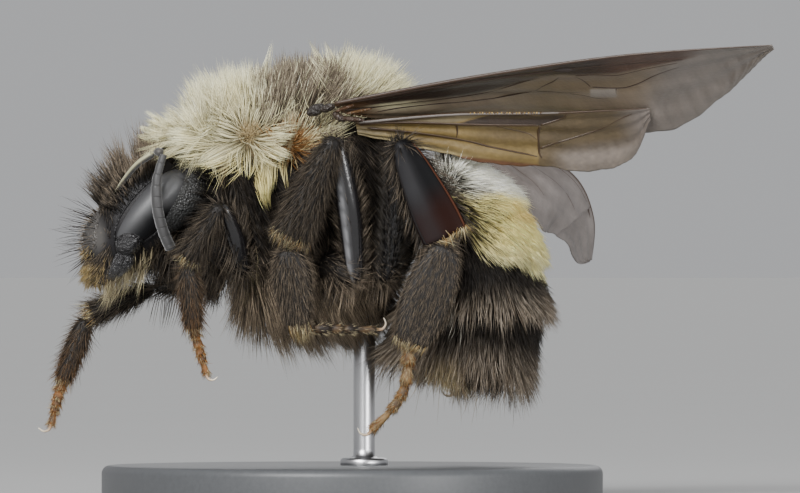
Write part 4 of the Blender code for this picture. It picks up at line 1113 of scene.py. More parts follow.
def grow_head():
    coat = Coat("coat_head")
    r = head_skin.scatter(crown_density)
    top = smooth(12.4, 14.0, r.z)
    reach = np.stack([r.x, r.z], -1) - SCAPE_START
    run = np.clip(reach @ SCAPE_WAY, -0.2, 2.6)
    beside = np.linalg.norm(reach - run[:, None] * SCAPE_WAY, axis=1)
    short = 1 - 0.55 * smooth(0.65, 0.30, beside) * smooth(0.9, 1.4, r.out)
    tip = mix(SOOT * 1.2, r.pick(0.4, SMOKE * 1.7, SMOKE * 0.9),
              np.clip(0.20 + 0.60 * top + 0.30 * RNG.normal(0, 1, r.n), 0, 1))
    coat.grow(r, r.normal * 1.25 + r.steer((-0.4, 0, 0.9)) * column(0.35 + 0.35 * top),
              (1.30 + 0.40 * top) * (0.70 + 0.6 * r.chance()) * short, FINE, INK, tip,
              clump=(0.45, 7), curl=0.07)

    # Throat and neck.
    throat = Skin(tube_between(*THROAT), (0.02, 0.50, 0.98, 0.62))
    r = throat.scatter(lambda r: 80.0 * (r.place > 0.05) * (r.place < 0.9) * smooth(11.9, 11.3, r.z))
    coat.grow(r, r.normal * 0.7 + r.steer((-0.2, 0, -1)), 0.95 + 0.35 * r.chance(), FINE, INK,
              mix(SOOT, SMOKE, r.chance() ** 1.5), bend=(0, 0, -0.1), clump=(0.4, 9), curl=0.08)
    neck = Skin(tube_between(*NECK), (0.02, 0.65, 0.98, 0.78))
    r = neck.scatter(lambda r: 75.0 * (r.place > 0.1 + 0.35 * (r.z < 14.1)) * (r.place < 0.75)
                     * smooth(14.9, 14.1, r.z))
    brown = smooth(13.6, 14.6, r.z)
    coat.grow(r, r.normal * 0.8 + r.steer((-0.5, 0, 0.35)), 1.0 + 0.2 * brown, FINE, INK,
              mix(SOOT, mix(SMOKE, CREAM_DEEP, 0.25), brown * r.chance()), clump=(0.4, 12), curl=0.08)

    # Cheek, beard, and the short hair beside and below the plate of the face.
    r = head_skin.scatter(lambda r: 110 * smooth(0.50, 0.60, r.down) * off_eye(r.pos, 1.16)
                          * (r.place < 0.86) * smooth(12.5, 12.0, r.z))
    tip = mix(SOOT, SMOKE * 0.7, 0.5 * r.chance())
    coat.grow(r, r.normal * 0.5 + r.steer((0.5, 0, -0.8)), 0.45, 0.028, INK, tip, curl=0.05)
    r = head_skin.scatter(lambda r: 34 * smooth(0.54, 0.66, r.down) * smooth(0.55, 0.70, r.place))
    tip = mix(SMOKE * 1.5, (0.92, 0.82, 0.50), r.chance() ** 0.6)
    coat.grow(r, r.normal * 0.5 + r.steer(-UP) * 0.7 + [0.24, 0, -0.75], 0.95 + 0.45 * r.chance(), FINE,
              (0.20, 0.15, 0.08), tip, bend=(-0.34, 0, -0.02), clump=(0.6, 6), curl=0.20)
    r = head_skin.scatter(lambda r: 80 * smooth(-9.9, -10.2, r.x) * smooth(10.7, 11.0, r.z)
                          * smooth(13.0, 12.6, r.z) * off_eye(r.pos, 1.12) * bare(r))
    coat.grow(r, r.normal * 0.5 + r.steer((0.35, 0, 1)) * 0.9, 0.40 + 0.25 * r.chance(), 0.026, INK,
              mix(SOOT, SMOKE * 0.8, r.chance() ** 2), curl=0.08)
    r = head_skin.scatter(lambda r: 120 * smooth(-9.95, -10.15, r.x) * smooth(9.1, 9.3, r.z)
                          * smooth(11.0, 10.7, r.z) * bare(r))
    coat.grow(r, r.normal * 0.8 + [-0.25, 0, -0.7], 0.36 + 0.25 * r.chance(), 0.030, INK * 3,
              r.pick(smooth(10.5, 9.6, r.z) * 0.7, (0.48, 0.36, 0.17), SMOKE * 0.8), curl=0.08)

    # Lip, then the plate: fine down, a few long bristles and a brown lower edge.
    lip = Skin(ellipsoid_grid(*LIP, rings=24, sides=32), (0.02, 0.81, 0.48, 0.98))
    r = lip.scatter(lambda r: 170 * (r.x < -10.4))
    coat.grow(r, r.normal * 0.65 + [-0.05, 0, -0.8], 0.50 + 0.35 * r.chance(), FINE, GOLD * 0.25,
              r.pick(0.6, (0.40, 0.28, 0.11), (0.62, 0.51, 0.27)), clump=(0.6, 8), curl=0.08)
    plate = Skin(ellipsoid_grid(*CLYPEUS, rings=30, sides=40, fullness=0.85), (0.52, 0.81, 0.98, 0.98))
    r = plate.scatter(lambda r: 16.0 * (r.x < -10.3))
    coat.grow(r, r.normal + [-0.1, 0, -0.4], 0.38, 0.026, INK * 2, SMOKE * 1.5, curl=0.05)
    r = plate.scatter(lambda r: 9.0 * (r.x < -10.5))
    coat.grow(r, r.normal + [-0.7, 0, -0.2], 1.1 + 0.4 * r.chance(), 0.028, INK, SOOT * 2, curl=0.06)
    r = plate.scatter(lambda r: 60.0 * (r.x < -10.5) * smooth(10.9, 10.3, r.z))
    coat.grow(r, r.normal * 0.8 + [-0.1, 0, -0.7], 0.42, 0.030, GOLD * 0.2,
              r.pick(0.5, (0.36, 0.25, 0.10), (0.58, 0.48, 0.26)), curl=0.08)
    return coat.build()


# Length and lift of the hair on each joint of a leg.
LEG_HAIR = {"coxa": (1.0, 0.6), "femur": (0.75, 0.7), "tibia": (0.75, 0.62), "basitarsus": (0.58, 0.62)}
HIND_HAIR = {"tibia": (1.05, 0.75), "basitarsus": (0.44, 0.62)}
FAR_LEG_SHARE = 0.6


def leg_density(r, tag, name, side, many):
    """Hairs per square millimetre on a joint: few on the outer face of a femur, none on the hind plate."""
    pair = tag.split("_")[0]
    facing = np.clip(r.normal[:, 1] * side, 0, 1)
    if name == "femur" and pair != "hind" and tag != "fore_right":
        return 70 * (1 - smooth(0.30, 0.70, facing) * 0.93) * many
    if name == "tibia" and pair == "hind":
        bald = smooth(0.42, 0.60, facing) * smooth(0.06, 0.13, r.place)
        return (95 + 75 * smooth(0.15, 0.35, facing)) * (1 - bald) * many
    return (80.0 if name == "coxa" else 165.0) * many + 0 * r.x


def leg_tips(r, pair, name):
    """Colours of the hairs' tips on a joint."""
    tip = mix(SOOT * 1.6, SMOKE * 1.15,
              np.clip(0.95 * r.chance() ** 1.3 + (0.05 if name == "tibia" else 0.2), 0, 1))
    if name == "femur" and pair == "hind":
        return tip * 0.15
    if name == "coxa" and pair != "fore":
        return tip * column(1 + 1.4 * smooth(10.0, 8.6, r.z))
    if name == "basitarsus":
        if pair != "fore":
            return tip * 1.6
        return mix(tip, BROWN * 2.2, (0.25 + 0.6 * smooth(0.15, 0.9, r.place)) * r.chance())
    return tip


def grow_leg(tag, skins):
    short_coat = Coat("coat_leg_%s_short" % tag, steps=1)
    long_coat = Coat("coat_leg_%s_long" % tag)
    pair, side = tag.split("_")[0], LEGS[tag][0]
    many = 1.0 if side == LEFT or pair == "fore" else FAR_LEG_SHARE
    shape = {**LEG_HAIR, **(HIND_HAIR if pair == "hind" else {})}
    for name, (size, lift) in shape.items():
        hind_tibia = pair == "hind" and name == "tibia"
        r = skins[name].scatter(lambda r: leg_density(r, tag, name, side, many))
        tip = leg_tips(r, pair, name)
        coat = long_coat if hind_tibia else short_coat
        coat.grow(r, r.normal * lift + r.rear, size * (0.7 + 0.6 * r.chance()), 0.029, INK, tip, curl=0.08)
        if name in ("tibia", "basitarsus"):
            # A pale fringe round the joint's end.
            bright = name == "tibia" and pair != "hind"
            long_end = pair == "mid" and name == "basitarsus"
            most = 260 if bright or long_end else 190
            r = skins[name].scatter(lambda r: most * smooth(0.86, 0.93, r.place) * many
                                    * (smooth(-0.15, 0.35, r.normal[:, 0]) if hind_tibia else 1.0))
            gold = r.pick(0.7, STRAW, (0.58, 0.36, 0.13)) * (1.1 if bright else 1.0)
            way = r.rear + ([0.2, 0, -0.6] if long_end else 0)
            short_coat.grow(r, r.normal * 0.55 + way, 0.35 + 0.35 * r.chance() + 0.30 * long_end, 0.032,
                            gold * 0.35, gold, curl=0.08)
        if name == "coxa" or (name == "femur" and pair == "fore"):
            # Long hair that hangs below the joint.
            r = skins[name].scatter(lambda r: 26 * smooth(0.2, 0.5, -r.normal[:, 2]) * many)
            long_coat.grow(r, r.normal * 0.4 + [-0.15, 0, -1.0], 1.5, MEDIUM, INK,
                           mix(SOOT, SMOKE * (1.1 if pair == "fore" else 2.2), r.chance()),
                           bend=(-0.1, 0, -0.1), clump=(0.4, 8))
    for surface in skins["foot"]:
        r = surface.scatter(lambda r: (260 * smooth(0.30, 0.6, r.place) + 110) * many)
        gold = r.pick(0.5, (0.72, 0.58, 0.33), ORANGE * 0.9)
        if pair == "mid":
            gold = r.pick(0.15 + 0.5 * smooth(0.0, -0.6, r.normal[:, 2]), (0.66, 0.55, 0.34), SOOT * 2)
        short_coat.grow(r, r.normal * 0.6 + r.rear, 0.30, 0.030, gold * 0.25, gold)
    return short_coat.build() + long_coat.build()


# ---- wings ----
FOREWING_CHORD = (0.9, 2.2, 3.4, 4.1, 4.7, 5.1, 5.4, 5.6, 5.6, 4.9, 3.5, 1.7, 0.4)
HINDWING_CHORD = (0.7, 1.0, 1.3, 1.7, 2.0, 2.3, 2.5, 2.6, 2.8, 3.1, 3.1, 2.4, 0.7)
LOOSE_HINDWING_CHORD = (0.8, 1.1, 1.6, 2.2, 2.8, 3.3, 3.5, 3.5, 3.2, 2.7, 2.3, 2.0, 1.8)
WINGS = {
    "forewing_left": {
        "lead": ((-0.75, -4.35, 16.60), (5.20, -6.15, 17.70), (11.30, -7.90, 18.55), (17.30, -9.60, 18.95)),
        "trail": ((0.21, 0.89, -0.40), (0.23, 0.92, -0.32), (0.16, 0.81, -0.57), (0.20, 0.89, -0.42)),
        "chord": FOREWING_CHORD, "rows": 260, "columns": 60},
    "hindwing_left": {
        "lead": ((0.15, -3.75, 15.80), (4.20, -4.15, 16.15), (8.30, -4.45, 16.20), (12.35, -4.75, 16.40)),
        "trail": ((0.13, 0.74, -0.66), (0.03, 0.49, -0.87), (0.06, 0.58, -0.81), (0.10, 0.67, -0.74)),
        "chord": HINDWING_CHORD, "rows": 220, "columns": 48},
    "forewing_right": {
        "lead": ((-0.75, 4.35, 16.60), (4.80, 7.20, 17.35), (10.40, 9.90, 18.00), (15.80, 12.50, 18.30)),
        "trail": ((0.40, -0.84, -0.36), (0.40, -0.84, -0.30), (0.38, -0.86, -0.34), (0.40, -0.84, -0.30)),
        "chord": FOREWING_CHORD, "rows": 160, "columns": 36},
    "hindwing_right": {
        "lead": ((0.35, 3.85, 15.35), (3.60, 4.90, 15.50), (6.90, 6.00, 15.00), (9.30, 7.00, 13.70),
                 (10.20, 7.80, 11.90), (10.15, 8.40, 10.10)),
        "trail": ((0.35, -0.85, -0.40), (-0.60, -0.72, -0.30), (-0.62, -0.72, -0.26), (-0.40, -0.84, -0.34)),
        "chord": LOOSE_HINDWING_CHORD, "rows": 120, "columns": 30, "blunt": 0.90},
}
WING_CAMBER = 0.22
MEMBRANE = 0.05
# Veins of the left wings as they lie on the membrane, places in x and z.
FOREWING_VEINS = (
    (0.075, ((-1.20, 16.42), (2.40, 17.10), (5.20, 17.55), (8.50, 17.95), (11.50, 18.25), (13.80, 18.40))),
    (0.055, ((-0.60, 16.20), (1.80, 16.62), (4.92, 16.93), (6.48, 17.32), (7.43, 17.60), (7.82, 17.66))),
    (0.045, ((0.36, 16.15), (1.82, 16.42), (3.40, 16.62), (5.80, 16.80), (7.60, 17.16))),
    (0.045, ((7.60, 17.16), (8.04, 17.38), (8.49, 17.58), (8.62, 17.80))),
    (0.038, ((7.60, 17.16), (8.54, 17.10), (9.04, 17.06), (9.77, 17.10), (9.91, 17.29))),
    (0.040, ((9.91, 17.29), (9.66, 17.54), (9.33, 17.68), (8.90, 17.86))),
    (0.050, ((9.91, 17.29), (10.94, 17.25), (11.60, 17.32), (12.17, 17.57), (12.67, 17.82), (13.60, 18.12))),
    (0.050, ((9.20, 17.74), (10.00, 17.80), (10.85, 17.76), (11.30, 17.84), (12.17, 18.02), (13.60, 18.30))),
    (0.036, ((10.97, 17.24), (10.97, 16.90))),
    (0.036, ((9.04, 17.05), (9.66, 16.95), (10.20, 16.84), (10.97, 16.82), (11.90, 16.95))),
)
HINDWING_VEINS = (
    (0.060, ((0.10, 15.95), (2.00, 16.15), (4.40, 16.20), (6.50, 16.26), (8.80, 16.26))),
    (0.060, ((0.20, 15.75), (2.00, 15.85), (4.40, 15.75), (6.20, 15.72), (7.82, 15.70))),
    (0.045, ((7.82, 15.70), (8.40, 15.88), (8.82, 16.03), (8.95, 16.25))),
    (0.050, ((7.82, 15.70), (7.74, 15.35), (7.76, 15.05), (7.79, 14.53), (7.93, 14.36))),
    (0.050, ((0.60, 15.60), (2.60, 15.42), (4.92, 15.06), (5.64, 14.84), (6.76, 14.60), (7.79, 14.42))),
    (0.045, ((4.38, 15.74), (4.40, 15.46), (4.34, 15.20))),
    (0.030, ((5.90, 15.70), (7.15, 15.42), (7.60, 15.22), (7.74, 15.05))),
    (0.038, ((7.80, 14.72), (8.49, 15.00), (9.27, 15.20), (10.50, 15.60), (11.04, 15.95), (11.70, 16.20))),
)



def wing_surface(plan):
    """Points and upward directions of a wing, rows from root to tip, columns to the trailing edge."""
    s, c = np.linspace(0, 1, plan["rows"]), np.linspace(0, 1, plan["columns"])
    lead, span, rearward = along(plan["lead"], s), heading(plan["lead"], s), along(plan["trail"], s)
    rearward = unit(rearward - span * (rearward * span).sum(-1, keepdims=True))
    lift = np.cross(span, rearward)
    lift = lift * np.where(lift[:, 2:] > 0, 1.0, -1.0)
    chord = along(plan["chord"], s) * (1 + 0.012 * np.sin(37 * s) + 0.008 * np.sin(91 * s + 1))
    blunt = plan.get("blunt", 1.0)
    chord = chord * np.sqrt(1 - 0.99 * np.clip((s - blunt) / (1.001 - blunt), 0, 1) ** 2.5)
    s, c, chord = s[:, None], c[None], chord[:, None]
    grid = lead[:, None] + rearward[:, None] * (chord * c)[..., None]
    camber = WING_CAMBER * chord / 4 * np.sin(math.pi * c)
    fold = 0.05 * np.sin(TAU * (3.5 * c ** 0.9 - 0.4 * s)) * smooth(0, 0.15, c) * (1 - 0.5 * s)
    crinkle = 0.012 * np.sin(TAU * (5 * c + 40 * s + 0.9 * np.sin(13 * s + 7 * c)))
    height = camber + fold + crinkle * smooth(0.5, 0.9, s) * smooth(0.3, 0.8, c)
    up = np.broadcast_to(lift[:, None], grid.shape)
    return grid + up * height[..., None], up


def layered(base, *layers):
    """A colour with others laid over it, each with its share."""
    for colour, share in layers:
        base = mix(base, colour, share)
    return base


# Lower edge of the forewing's dark front strip, and top of the hindwing's inner cell: x, then z.
STRIP_EDGE = ((-1.8, 0.4, 2.4, 4.9, 6.5, 7.8, 8.6, 9.4, 11.0, 12.2, 13.7, 14.6),
              (16.3, 16.5, 16.75, 16.98, 17.36, 17.7, 17.8, 17.78, 17.85, 18.1, 18.38, 18.62))
CELL_TOP = (4.2, 5.9, 6.6, 7.7, 8.8), (15.74, 16.18, 16.24, 16.10, 16.14)


def forewing_tint(p):
    x, z = p[..., 0], p[..., 2]
    speckle = ripple(p, 0.16, 0.4) * 0.10 + ripple(p, 0.6, 1.4) * 0.12
    dark = smooth(-0.06, 0.06, z - np.interp(x, *STRIP_EDGE))
    cell = smooth(0.03, -0.03, np.maximum(np.abs(x - 10.45) - 0.55, np.abs(z - 17.05) - 0.17))
    patch = hump(x, z, (1.7, 16.60), (1.15, 0.20))
    # Painted sheen and light: the paler lower part and the pale grey cell are painted sheen, and the cream
    # patch near the root is painted light shining through the membrane.
    base = layered(
        [0.185, 0.140, 0.092],
        ([0.290, 0.225, 0.160], smooth(17.15, 16.80, z - 0.02 * (x - 6))),
        ([0.20, 0.172, 0.150], smooth(11.4, 13.2, x + 0.55 * (17.2 - z))),
        ([0.33, 0.29, 0.25], cell),
        ([0.78, 0.72, 0.46], np.clip(patch * 1.2, 0, 1)),
        (mix([0.035, 0.022, 0.016], [0.085, 0.045, 0.028], smooth(9.6, 11.5, x)),
         dark * (1 - smooth(13.4, 14.8, x))),
        ([0.10, 0.05, 0.02], smooth(1.6, 0.2, x) * (1 - np.clip(patch, 0, 1))))
    return base * (0.80 + 0.80 * speckle)[..., None]


def hindwing_tint(p):
    x, z = p[..., 0], p[..., 2]
    speckle = ripple(p, 0.16, 0.4) * 0.12 + ripple(p, 0.7, 2.0) * 0.14
    golden = mix([0.20, 0.138, 0.048], [0.13, 0.090, 0.038], smooth(4.4, 6.5, x) * smooth(14.6, 15.4, z))
    # The grey towards the lower edge of the wing's outer part is a painted silvery highlight.
    outer = mix([0.105, 0.075, 0.038], [0.210, 0.175, 0.145],
                smooth(15.0, 14.35, z - 0.12 * (x - 8.5)) * smooth(8.0, 9.2, x))
    ceiling = np.interp(x, *CELL_TOP)
    wedge = (smooth(-0.05, 0.03, z - 15.70 - 0.30 * np.maximum(x - 7.82, 0))
             * smooth(0.04, -0.04, z - ceiling) * smooth(4.2, 4.8, x) * (1 - smooth(8.7, 8.95, x)))
    base = layered(
        golden,
        (outer, smooth(7.7, 7.85, x)),
        ([0.040, 0.026, 0.018], wedge),
        ([0.17, 0.135, 0.075], smooth(0.02, 0.12, z - ceiling) * (1 - smooth(7.8, 9.2, x))),
        ([0.42, 0.34, 0.17], smooth(15.25, 14.75, z + 0.24 * (x - 2.5)) * (1 - smooth(5.0, 7.4, x))),
        ([0.11, 0.045, 0.018],
         smooth(14.40, 14.28, z + 0.11 * (x - 5.5)) * (1 - smooth(7.7, 7.9, x)) * (x > 3)),
        ([0.19, 0.160, 0.140], smooth(11.0, 12.4, x + 0.3 * (z - 15.0))))
    return base * (0.80 + 0.80 * speckle)[..., None]


def dim_tint(p):
    """The far wings, plainer than the near ones."""
    speckle = ripple(p, 0.3, 0.4) * 0.12 + ripple(p, 1.3, 2.0) * 0.15
    base = mix([0.12, 0.098, 0.085], [0.17, 0.150, 0.140], smooth(4.0, 9.0, p[..., 0]))
    return base * (1 + speckle)[..., None]


def add_sheet(bundle, grid, up, tint):
    """A closed thin sheet with the same tint on both faces."""
    rows, columns = grid.shape[:2]
    half = MEMBRANE / 2 * np.ones((rows, columns, 1))
    top, low = grid + up * half, grid - up * half
    count = rows * columns
    faces = grid_faces(rows, columns, False)
    edge = np.concatenate([np.arange(columns), (np.arange(1, rows) + 1) * columns - 1,
                           (rows - 1) * columns + np.arange(columns - 2, -1, -1),
                           np.arange(rows - 2, 0, -1) * columns])
    after = np.roll(edge, -1)
    rim = np.stack([after, edge, edge + count, after + count], -1)
    bundle.add(np.vstack([top.reshape(-1, 3), low.reshape(-1, 3)]), np.vstack([tint.reshape(-1, 3)] * 2),
               np.vstack([faces, faces[:, ::-1] + count, rim]))


def vein_path(grid, places):
    """Points of the wing nearest to places given by x and z."""
    flat = grid.reshape(-1, 3)
    fine = along(places, np.linspace(0, 1, 4 * len(places)))
    found = ((flat[:, 0][None] - fine[:, :1]) ** 2 + (flat[:, 2][None] - fine[:, 1:]) ** 2).argmin(1)
    path = flat[found]
    for _ in range(3):
        path[1:-1] = (path[:-2] + path[1:-1] + path[2:]) / 3
    return path


# By kind of left wing: its veins, their tones (the first one's, then the rest's) and how stout they are.
LEFT_VEINS = {"forewing_left": (FOREWING_VEINS, [0.045, 0.026, 0.016], [0.045, 0.026, 0.016], 1.25),
              "hindwing_left": (HINDWING_VEINS, [0.15, 0.13, 0.115], [0.050, 0.028, 0.013], 1.65)}
RIGHT_VEIN_TONE = [0.06, 0.04, 0.03]
HOOKS = 24


def left_veins(grid, veins, first_tone, tone, stout):
    for i, (radius, places) in enumerate(veins):
        sizes = [radius * 1.5 * stout, radius * 1.35 * stout, radius * 1.2 * stout, radius * stout]
        yield (limb_grid(vein_path(grid, places), sizes, [v * 1.1 for v in sizes], sides=8,
                         rings=6 * len(places), caps=(0.03, 0.05)),
               np.array(tone if i else first_tone) * 0.9)


def right_veins(grid):
    """Three plain veins, each at a share of the chord and ending part of the way out."""
    rows, columns = grid.shape[:2]
    for share, end in ((0.10, 0.85), (0.42, 0.72), (0.70, 0.55)):
        picked = np.linspace(1, int(end * (rows - 1)), 14).astype(int)
        path = [grid[i, int(share * (1 + 0.25 * math.sin(0.5 * k)) * (columns - 1))]
                for k, i in enumerate(picked)]
        yield limb_grid(path, [0.10, 0.06], sides=8, rings=40, caps=(0.03, 0.05)), RIGHT_VEIN_TONE


def wing_veins(name, grid):
    """The veins of a wing, its thick front edge, the forewing's stigma and the hindwing's hooks."""
    yield from left_veins(grid, *LEFT_VEINS[name]) if name in LEFT_VEINS else right_veins(grid)
    edge_tone = LEFT_VEINS[name][2] if name in LEFT_VEINS else RIGHT_VEIN_TONE
    yield limb_grid(grid[:-1:3, 0], [0.17, 0.15, 0.11, 0.05], [0.14, 0.12, 0.09, 0.05], sides=10, rings=120,
                    caps=(0.02, 0.03)), edge_tone
    if name == "forewing_left":
        path = vein_path(grid, [(8.30, 17.98), (8.80, 18.02), (9.35, 18.02)])
        yield limb_grid(path, [0.20, 0.30, 0.12], [0.12, 0.16, 0.10], sides=12, rings=14,
                        caps=(0.2, 0.4)), (0.030, 0.020, 0.016)
    if name == "hindwing_left":
        for k in range(HOOKS):
            place = vein_path(grid, [(4.95 + 0.125 * k, 16.27), (4.97 + 0.125 * k, 16.27)])[0]
            yield (ellipsoid_grid(place + [0, -0.05, 0.03], (0.035, 0.06, 0.05), 20, rings=6, sides=8),
                   mix([0.09, 0.05, 0.02], [0.45, 0.30, 0.10], 0.5 + 0.5 * math.sin(2.1 * k)))


TINTS = {"forewing_left": forewing_tint, "hindwing_left": hindwing_tint}
wing_pieces = {}
for name, plan in WINGS.items():
    grid, up = wing_surface(plan)
    sheet = Bundle()
    add_sheet(sheet, grid, up, TINTS.get(name, dim_tint)(grid))
    wing_pieces[name] = (sheet.build(name + "_membrane", WING),
                         solid(name + "_veins", VEIN, *wing_veins(name, grid)))

# The scale over each forewing's root, then the small plates of its hinge: place, radii, lean, tint.
HINGE = (((-1.02, 4.22, 16.42), (0.34, 0.20, 0.17), -20, (0.022, 0.015, 0.011)),
         ((-0.30, 4.45, 16.40), (0.42, 0.15, 0.09), -20, (0.06, 0.028, 0.012)),
         ((0.30, 4.55, 16.28), (0.55, 0.13, 0.07), -12, (0.09, 0.045, 0.016)),
         ((0.05, 4.35, 15.95), (0.50, 0.20, 0.12), 5, (0.05, 0.03, 0.02)),
         ((-0.55, 4.30, 16.05), (0.30, 0.20, 0.16), 30, (0.035, 0.022, 0.015)))
hinges = {}
for side, tag in SIDES:
    scale = ellipsoid_grid(mirrored((-1.50, 3.98, 16.34), side), (0.42, 0.25, 0.24), -24, rings=24, sides=32)
    hinges[tag] = solid("tegula_%s_shell" % tag, CHITIN_PITTED, (scale, (0.022, 0.017, 0.014)), *[
        (ellipsoid_grid(mirrored(place, side), radii, lean, rings=12, sides=18), tone)
        for place, radii, lean, tone in HINGE])


# ---- display stand ----
def turned(profile, sides=160, centre=(0.0, 0.0)):
    """Rings of a turned body from (radius, height) pairs."""
    a = TAU * np.arange(sides) / sides
    p = np.asarray(profile, float)
    return np.stack([centre[0] + p[:, :1] * np.cos(a)[None], centre[1] + p[:, :1] * np.sin(a)[None],
                     p[:, 1:] + 0 * a[None]], -1)


def rounded(radius, low, high, bevel):
    """Profile of a disc whose upper and lower edges are rounded."""
    turn = np.linspace(0, math.pi / 2, 10)
    lower = [(radius - bevel + bevel * math.sin(t), low + bevel - bevel * math.cos(t)) for t in turn]
    upper = [(radius - bevel + bevel * math.cos(t), high - bevel + bevel * math.sin(t)) for t in turn]
    return [(radius * 0.5, low)] + lower + upper + [(radius * 0.6, high), (radius * 0.3, high)]


def stand_material(name, colour, rough, metallic, scale, stretch, vary, bump):
    """Paint, brushed metal or paper: colour, gloss and relief follow a stretched noise."""
    material, tree, shader = new_material(name)
    link = tree.links.new
    place = node(tree, "ShaderNodeTexCoord")
    mapping = node(tree, "ShaderNodeMapping", Scale=stretch)
    noise = node(tree, "ShaderNodeTexNoise", Scale=scale, Detail=4.0, Roughness=0.6)
    link(place.outputs["Object"], mapping.inputs["Vector"])
    link(mapping.outputs["Vector"], noise.inputs["Vector"])
    ramp = node(tree, "ShaderNodeValToRGB")
    for element, position, factor in zip(ramp.color_ramp.elements, (0.3, 0.7), (1 - vary, 1 + vary)):
        element.position, element.color = position, (*[min(c * factor, 1) for c in colour], 1)
    link(noise.outputs["Fac"], ramp.inputs["Fac"])
    link(ramp.outputs["Color"], shader.inputs["Base Color"])
    add_gloss(tree, shader, noise, rough - 0.06, rough + 0.06)
    set_inputs(shader, {"Metallic": metallic})
    if bump:
        add_relief(tree, shader, noise.outputs["Fac"], bump, 0.00002, ("Normal",))
    return material


PAINT = stand_material("stand_paint", (0.075, 0.078, 0.082), 0.42, 0.0, 5000.0, (1, 1, 1), 0.08, 0.15)
STEEL = stand_material("stand_steel", (0.55, 0.55, 0.56), 0.30, 1.0, 2500.0, (1, 1, 0.04), 0.08, 0.10)
ROD_PROFILE = ((0.45, 1.45), (0.95, 1.45), (1.0, 1.52), (1.0, 1.72), (0.93, 1.80), (0.60, 1.82),
               (0.46, 1.90), (0.45, 2.2), (0.45, 5.0), (0.45, 9.4), (0.36, 9.55))
stand_base = solid("stand_base_turned", PAINT, (turned(rounded(10.5, 0.0, 1.5, 0.35)), (0.1, 0.1, 0.1)))
stand_rod = solid("stand_rod_steel", STEEL, (turned(ROD_PROFILE, 64, (0.5, 0.0)), (0.5, 0.5, 0.5)))

# The coats draw random numbers, so they grow in this order.
coats = grow_thorax() + grow_abdomen() + grow_head()
for tag, skins in leg_skins.items():
    coats += grow_leg(tag, skins)


# ---- who rides and replaces what ----
def place_piece(piece, slot, *nodes):
    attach(piece, "root")
    if nodes:
        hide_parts(*nodes)


place_piece(bee_skin, "coat_black", "collar", "thorax", "scutellum",
            *["abdomen_%d" % i for i in range(1, 7)])
place_piece(head_shell, "coat_black", "head")
for _, tag in SIDES:
    place_piece(eyes[tag], "shell_black", "eye_" + tag)
    place_piece(rims[tag], "shell_black")
    place_piece(jaws[tag], "shell_black", "mandible_" + tag)
    place_piece(feelers[tag], "feeler_grey", "scape_" + tag, "flagellum_" + tag)
    place_piece(hinges[tag], "shell_black", "tegula_" + tag)
place_piece(clypeus, "shell_black", "clypeus")
place_piece(labrum, "shell_black", "labrum")
place_piece(ocelli, "shell_black")
for name, (sheet, veins) in wing_pieces.items():
    place_piece(sheet, "wing_membrane", name)
    place_piece(veins, "wing_membrane")
for piece in leg_pieces:
    tag = "_".join(piece.name.split("_")[1:3])
    if piece.name.endswith("rod"):
        place_piece(piece, "shell_black", "femur_" + tag)
    elif piece.name.endswith("shell"):
        solids = [kind + tag for kind in ("coxa_", "tibia_", "basitarsus_")]
        place_piece(piece, "shell_black", *[name for name in solids if not name.startswith("tibia_hind")])
    elif piece.name.endswith("plate"):
        place_piece(piece, "shell_black", "tibia_" + tag)
    else:
        place_piece(piece, "shell_brown", *(["tarsus_" + tag] if piece.name.endswith("foot") else []))
for piece in coats:
    pale = "pale" in piece.name
    place_piece(piece, "coat_yellow" if pale and "abdomen" in piece.name
                else "coat_cream" if pale else "coat_black")
place_piece(stand_base, "stand_paint", "stand_base")
place_piece(stand_rod, "stand_steel", "stand_rod")

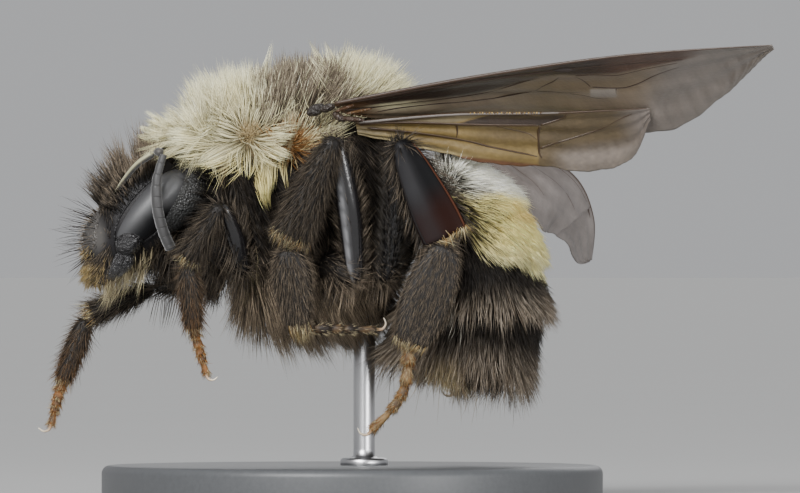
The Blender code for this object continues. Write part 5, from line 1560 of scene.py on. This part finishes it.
# ---- floor, light and camera ----
FLOOR_RADIUS, FLOOR_SIDES = 4000.0, 96
PAPER = stand_material("floor_paper", (0.43, 0.43, 0.425), 0.9, 0.0, 30.0, (1, 1, 1), 0.012, 0.0)
j = np.arange(FLOOR_SIDES)
ring = j / FLOOR_SIDES * TAU
rim = np.stack([np.cos(ring), np.sin(ring), 0 * ring], -1) * FLOOR_RADIUS
fan = np.stack([j, (j + 1) % FLOOR_SIDES, np.full(FLOOR_SIDES, FLOOR_SIDES)], -1)
floor = make_mesh("floor", np.vstack([rim, [[0, 0, 0]]]), [fan], PAPER)

LAMP_AIM = (0, 0, 11)
world = bpy.data.worlds.new("studio")
bpy.context.scene.world = world
world.use_nodes = True
set_inputs(world.node_tree.nodes["Background"], {"Color": (0.80, 0.81, 0.83, 1), "Strength": 0.56})


def aimed(name, data, place):
    """A lamp at a place in millimetres, facing the bee."""
    lamp = bpy.data.objects.new(name, data)
    bpy.context.scene.collection.objects.link(lamp)
    lamp.location = [v * MM for v in place]
    lamp.rotation_euler = (Vector(LAMP_AIM) - Vector(place)).to_track_quat("-Z", "Y").to_euler()


def sun(name, place, strength, spread):
    data = bpy.data.lights.new(name, "SUN")
    data.energy, data.angle = strength, math.radians(spread)
    aimed(name, data, place)


def soft_box(name, place, size, watts):
    data = bpy.data.lights.new(name, "AREA")
    data.shape, data.energy = "RECTANGLE", watts
    data.size, data.size_y = size[0] * MM, size[1] * MM
    aimed(name, data, place)


sun("key", (-55, -140, 95), 2.45, 30)
sun("fill", (110, -120, 22), 1.00, 60)
sun("back", (30, 120, 90), 0.6, 40)
soft_box("softbox", (-60, -120, 90), (80, 80), 0.16)
soft_box("strip", (-62, -230, 12), (8, 150), 0.05)
soft_box("low", (95, -130, 2), (60, 60), 0.17)

WIDTH, CENTRE_X, CENTRE_Z, REFERENCE_Y, LENS, SENSOR = 33.33, 2.0, 10.66, -3.0, 600.0, 36.0
camera_data = bpy.data.cameras.new("camera")
camera_data.lens, camera_data.sensor_width = LENS, SENSOR
camera_data.clip_start, camera_data.clip_end = 0.01, 20.0
camera = bpy.data.objects.new("camera", camera_data)
bpy.context.scene.collection.objects.link(camera)
camera.location = (CENTRE_X * MM, (REFERENCE_Y - WIDTH * LENS / SENSOR) * MM, CENTRE_Z * MM)
camera.rotation_euler = (math.radians(90), 0, 0)
bpy.context.scene.camera = camera
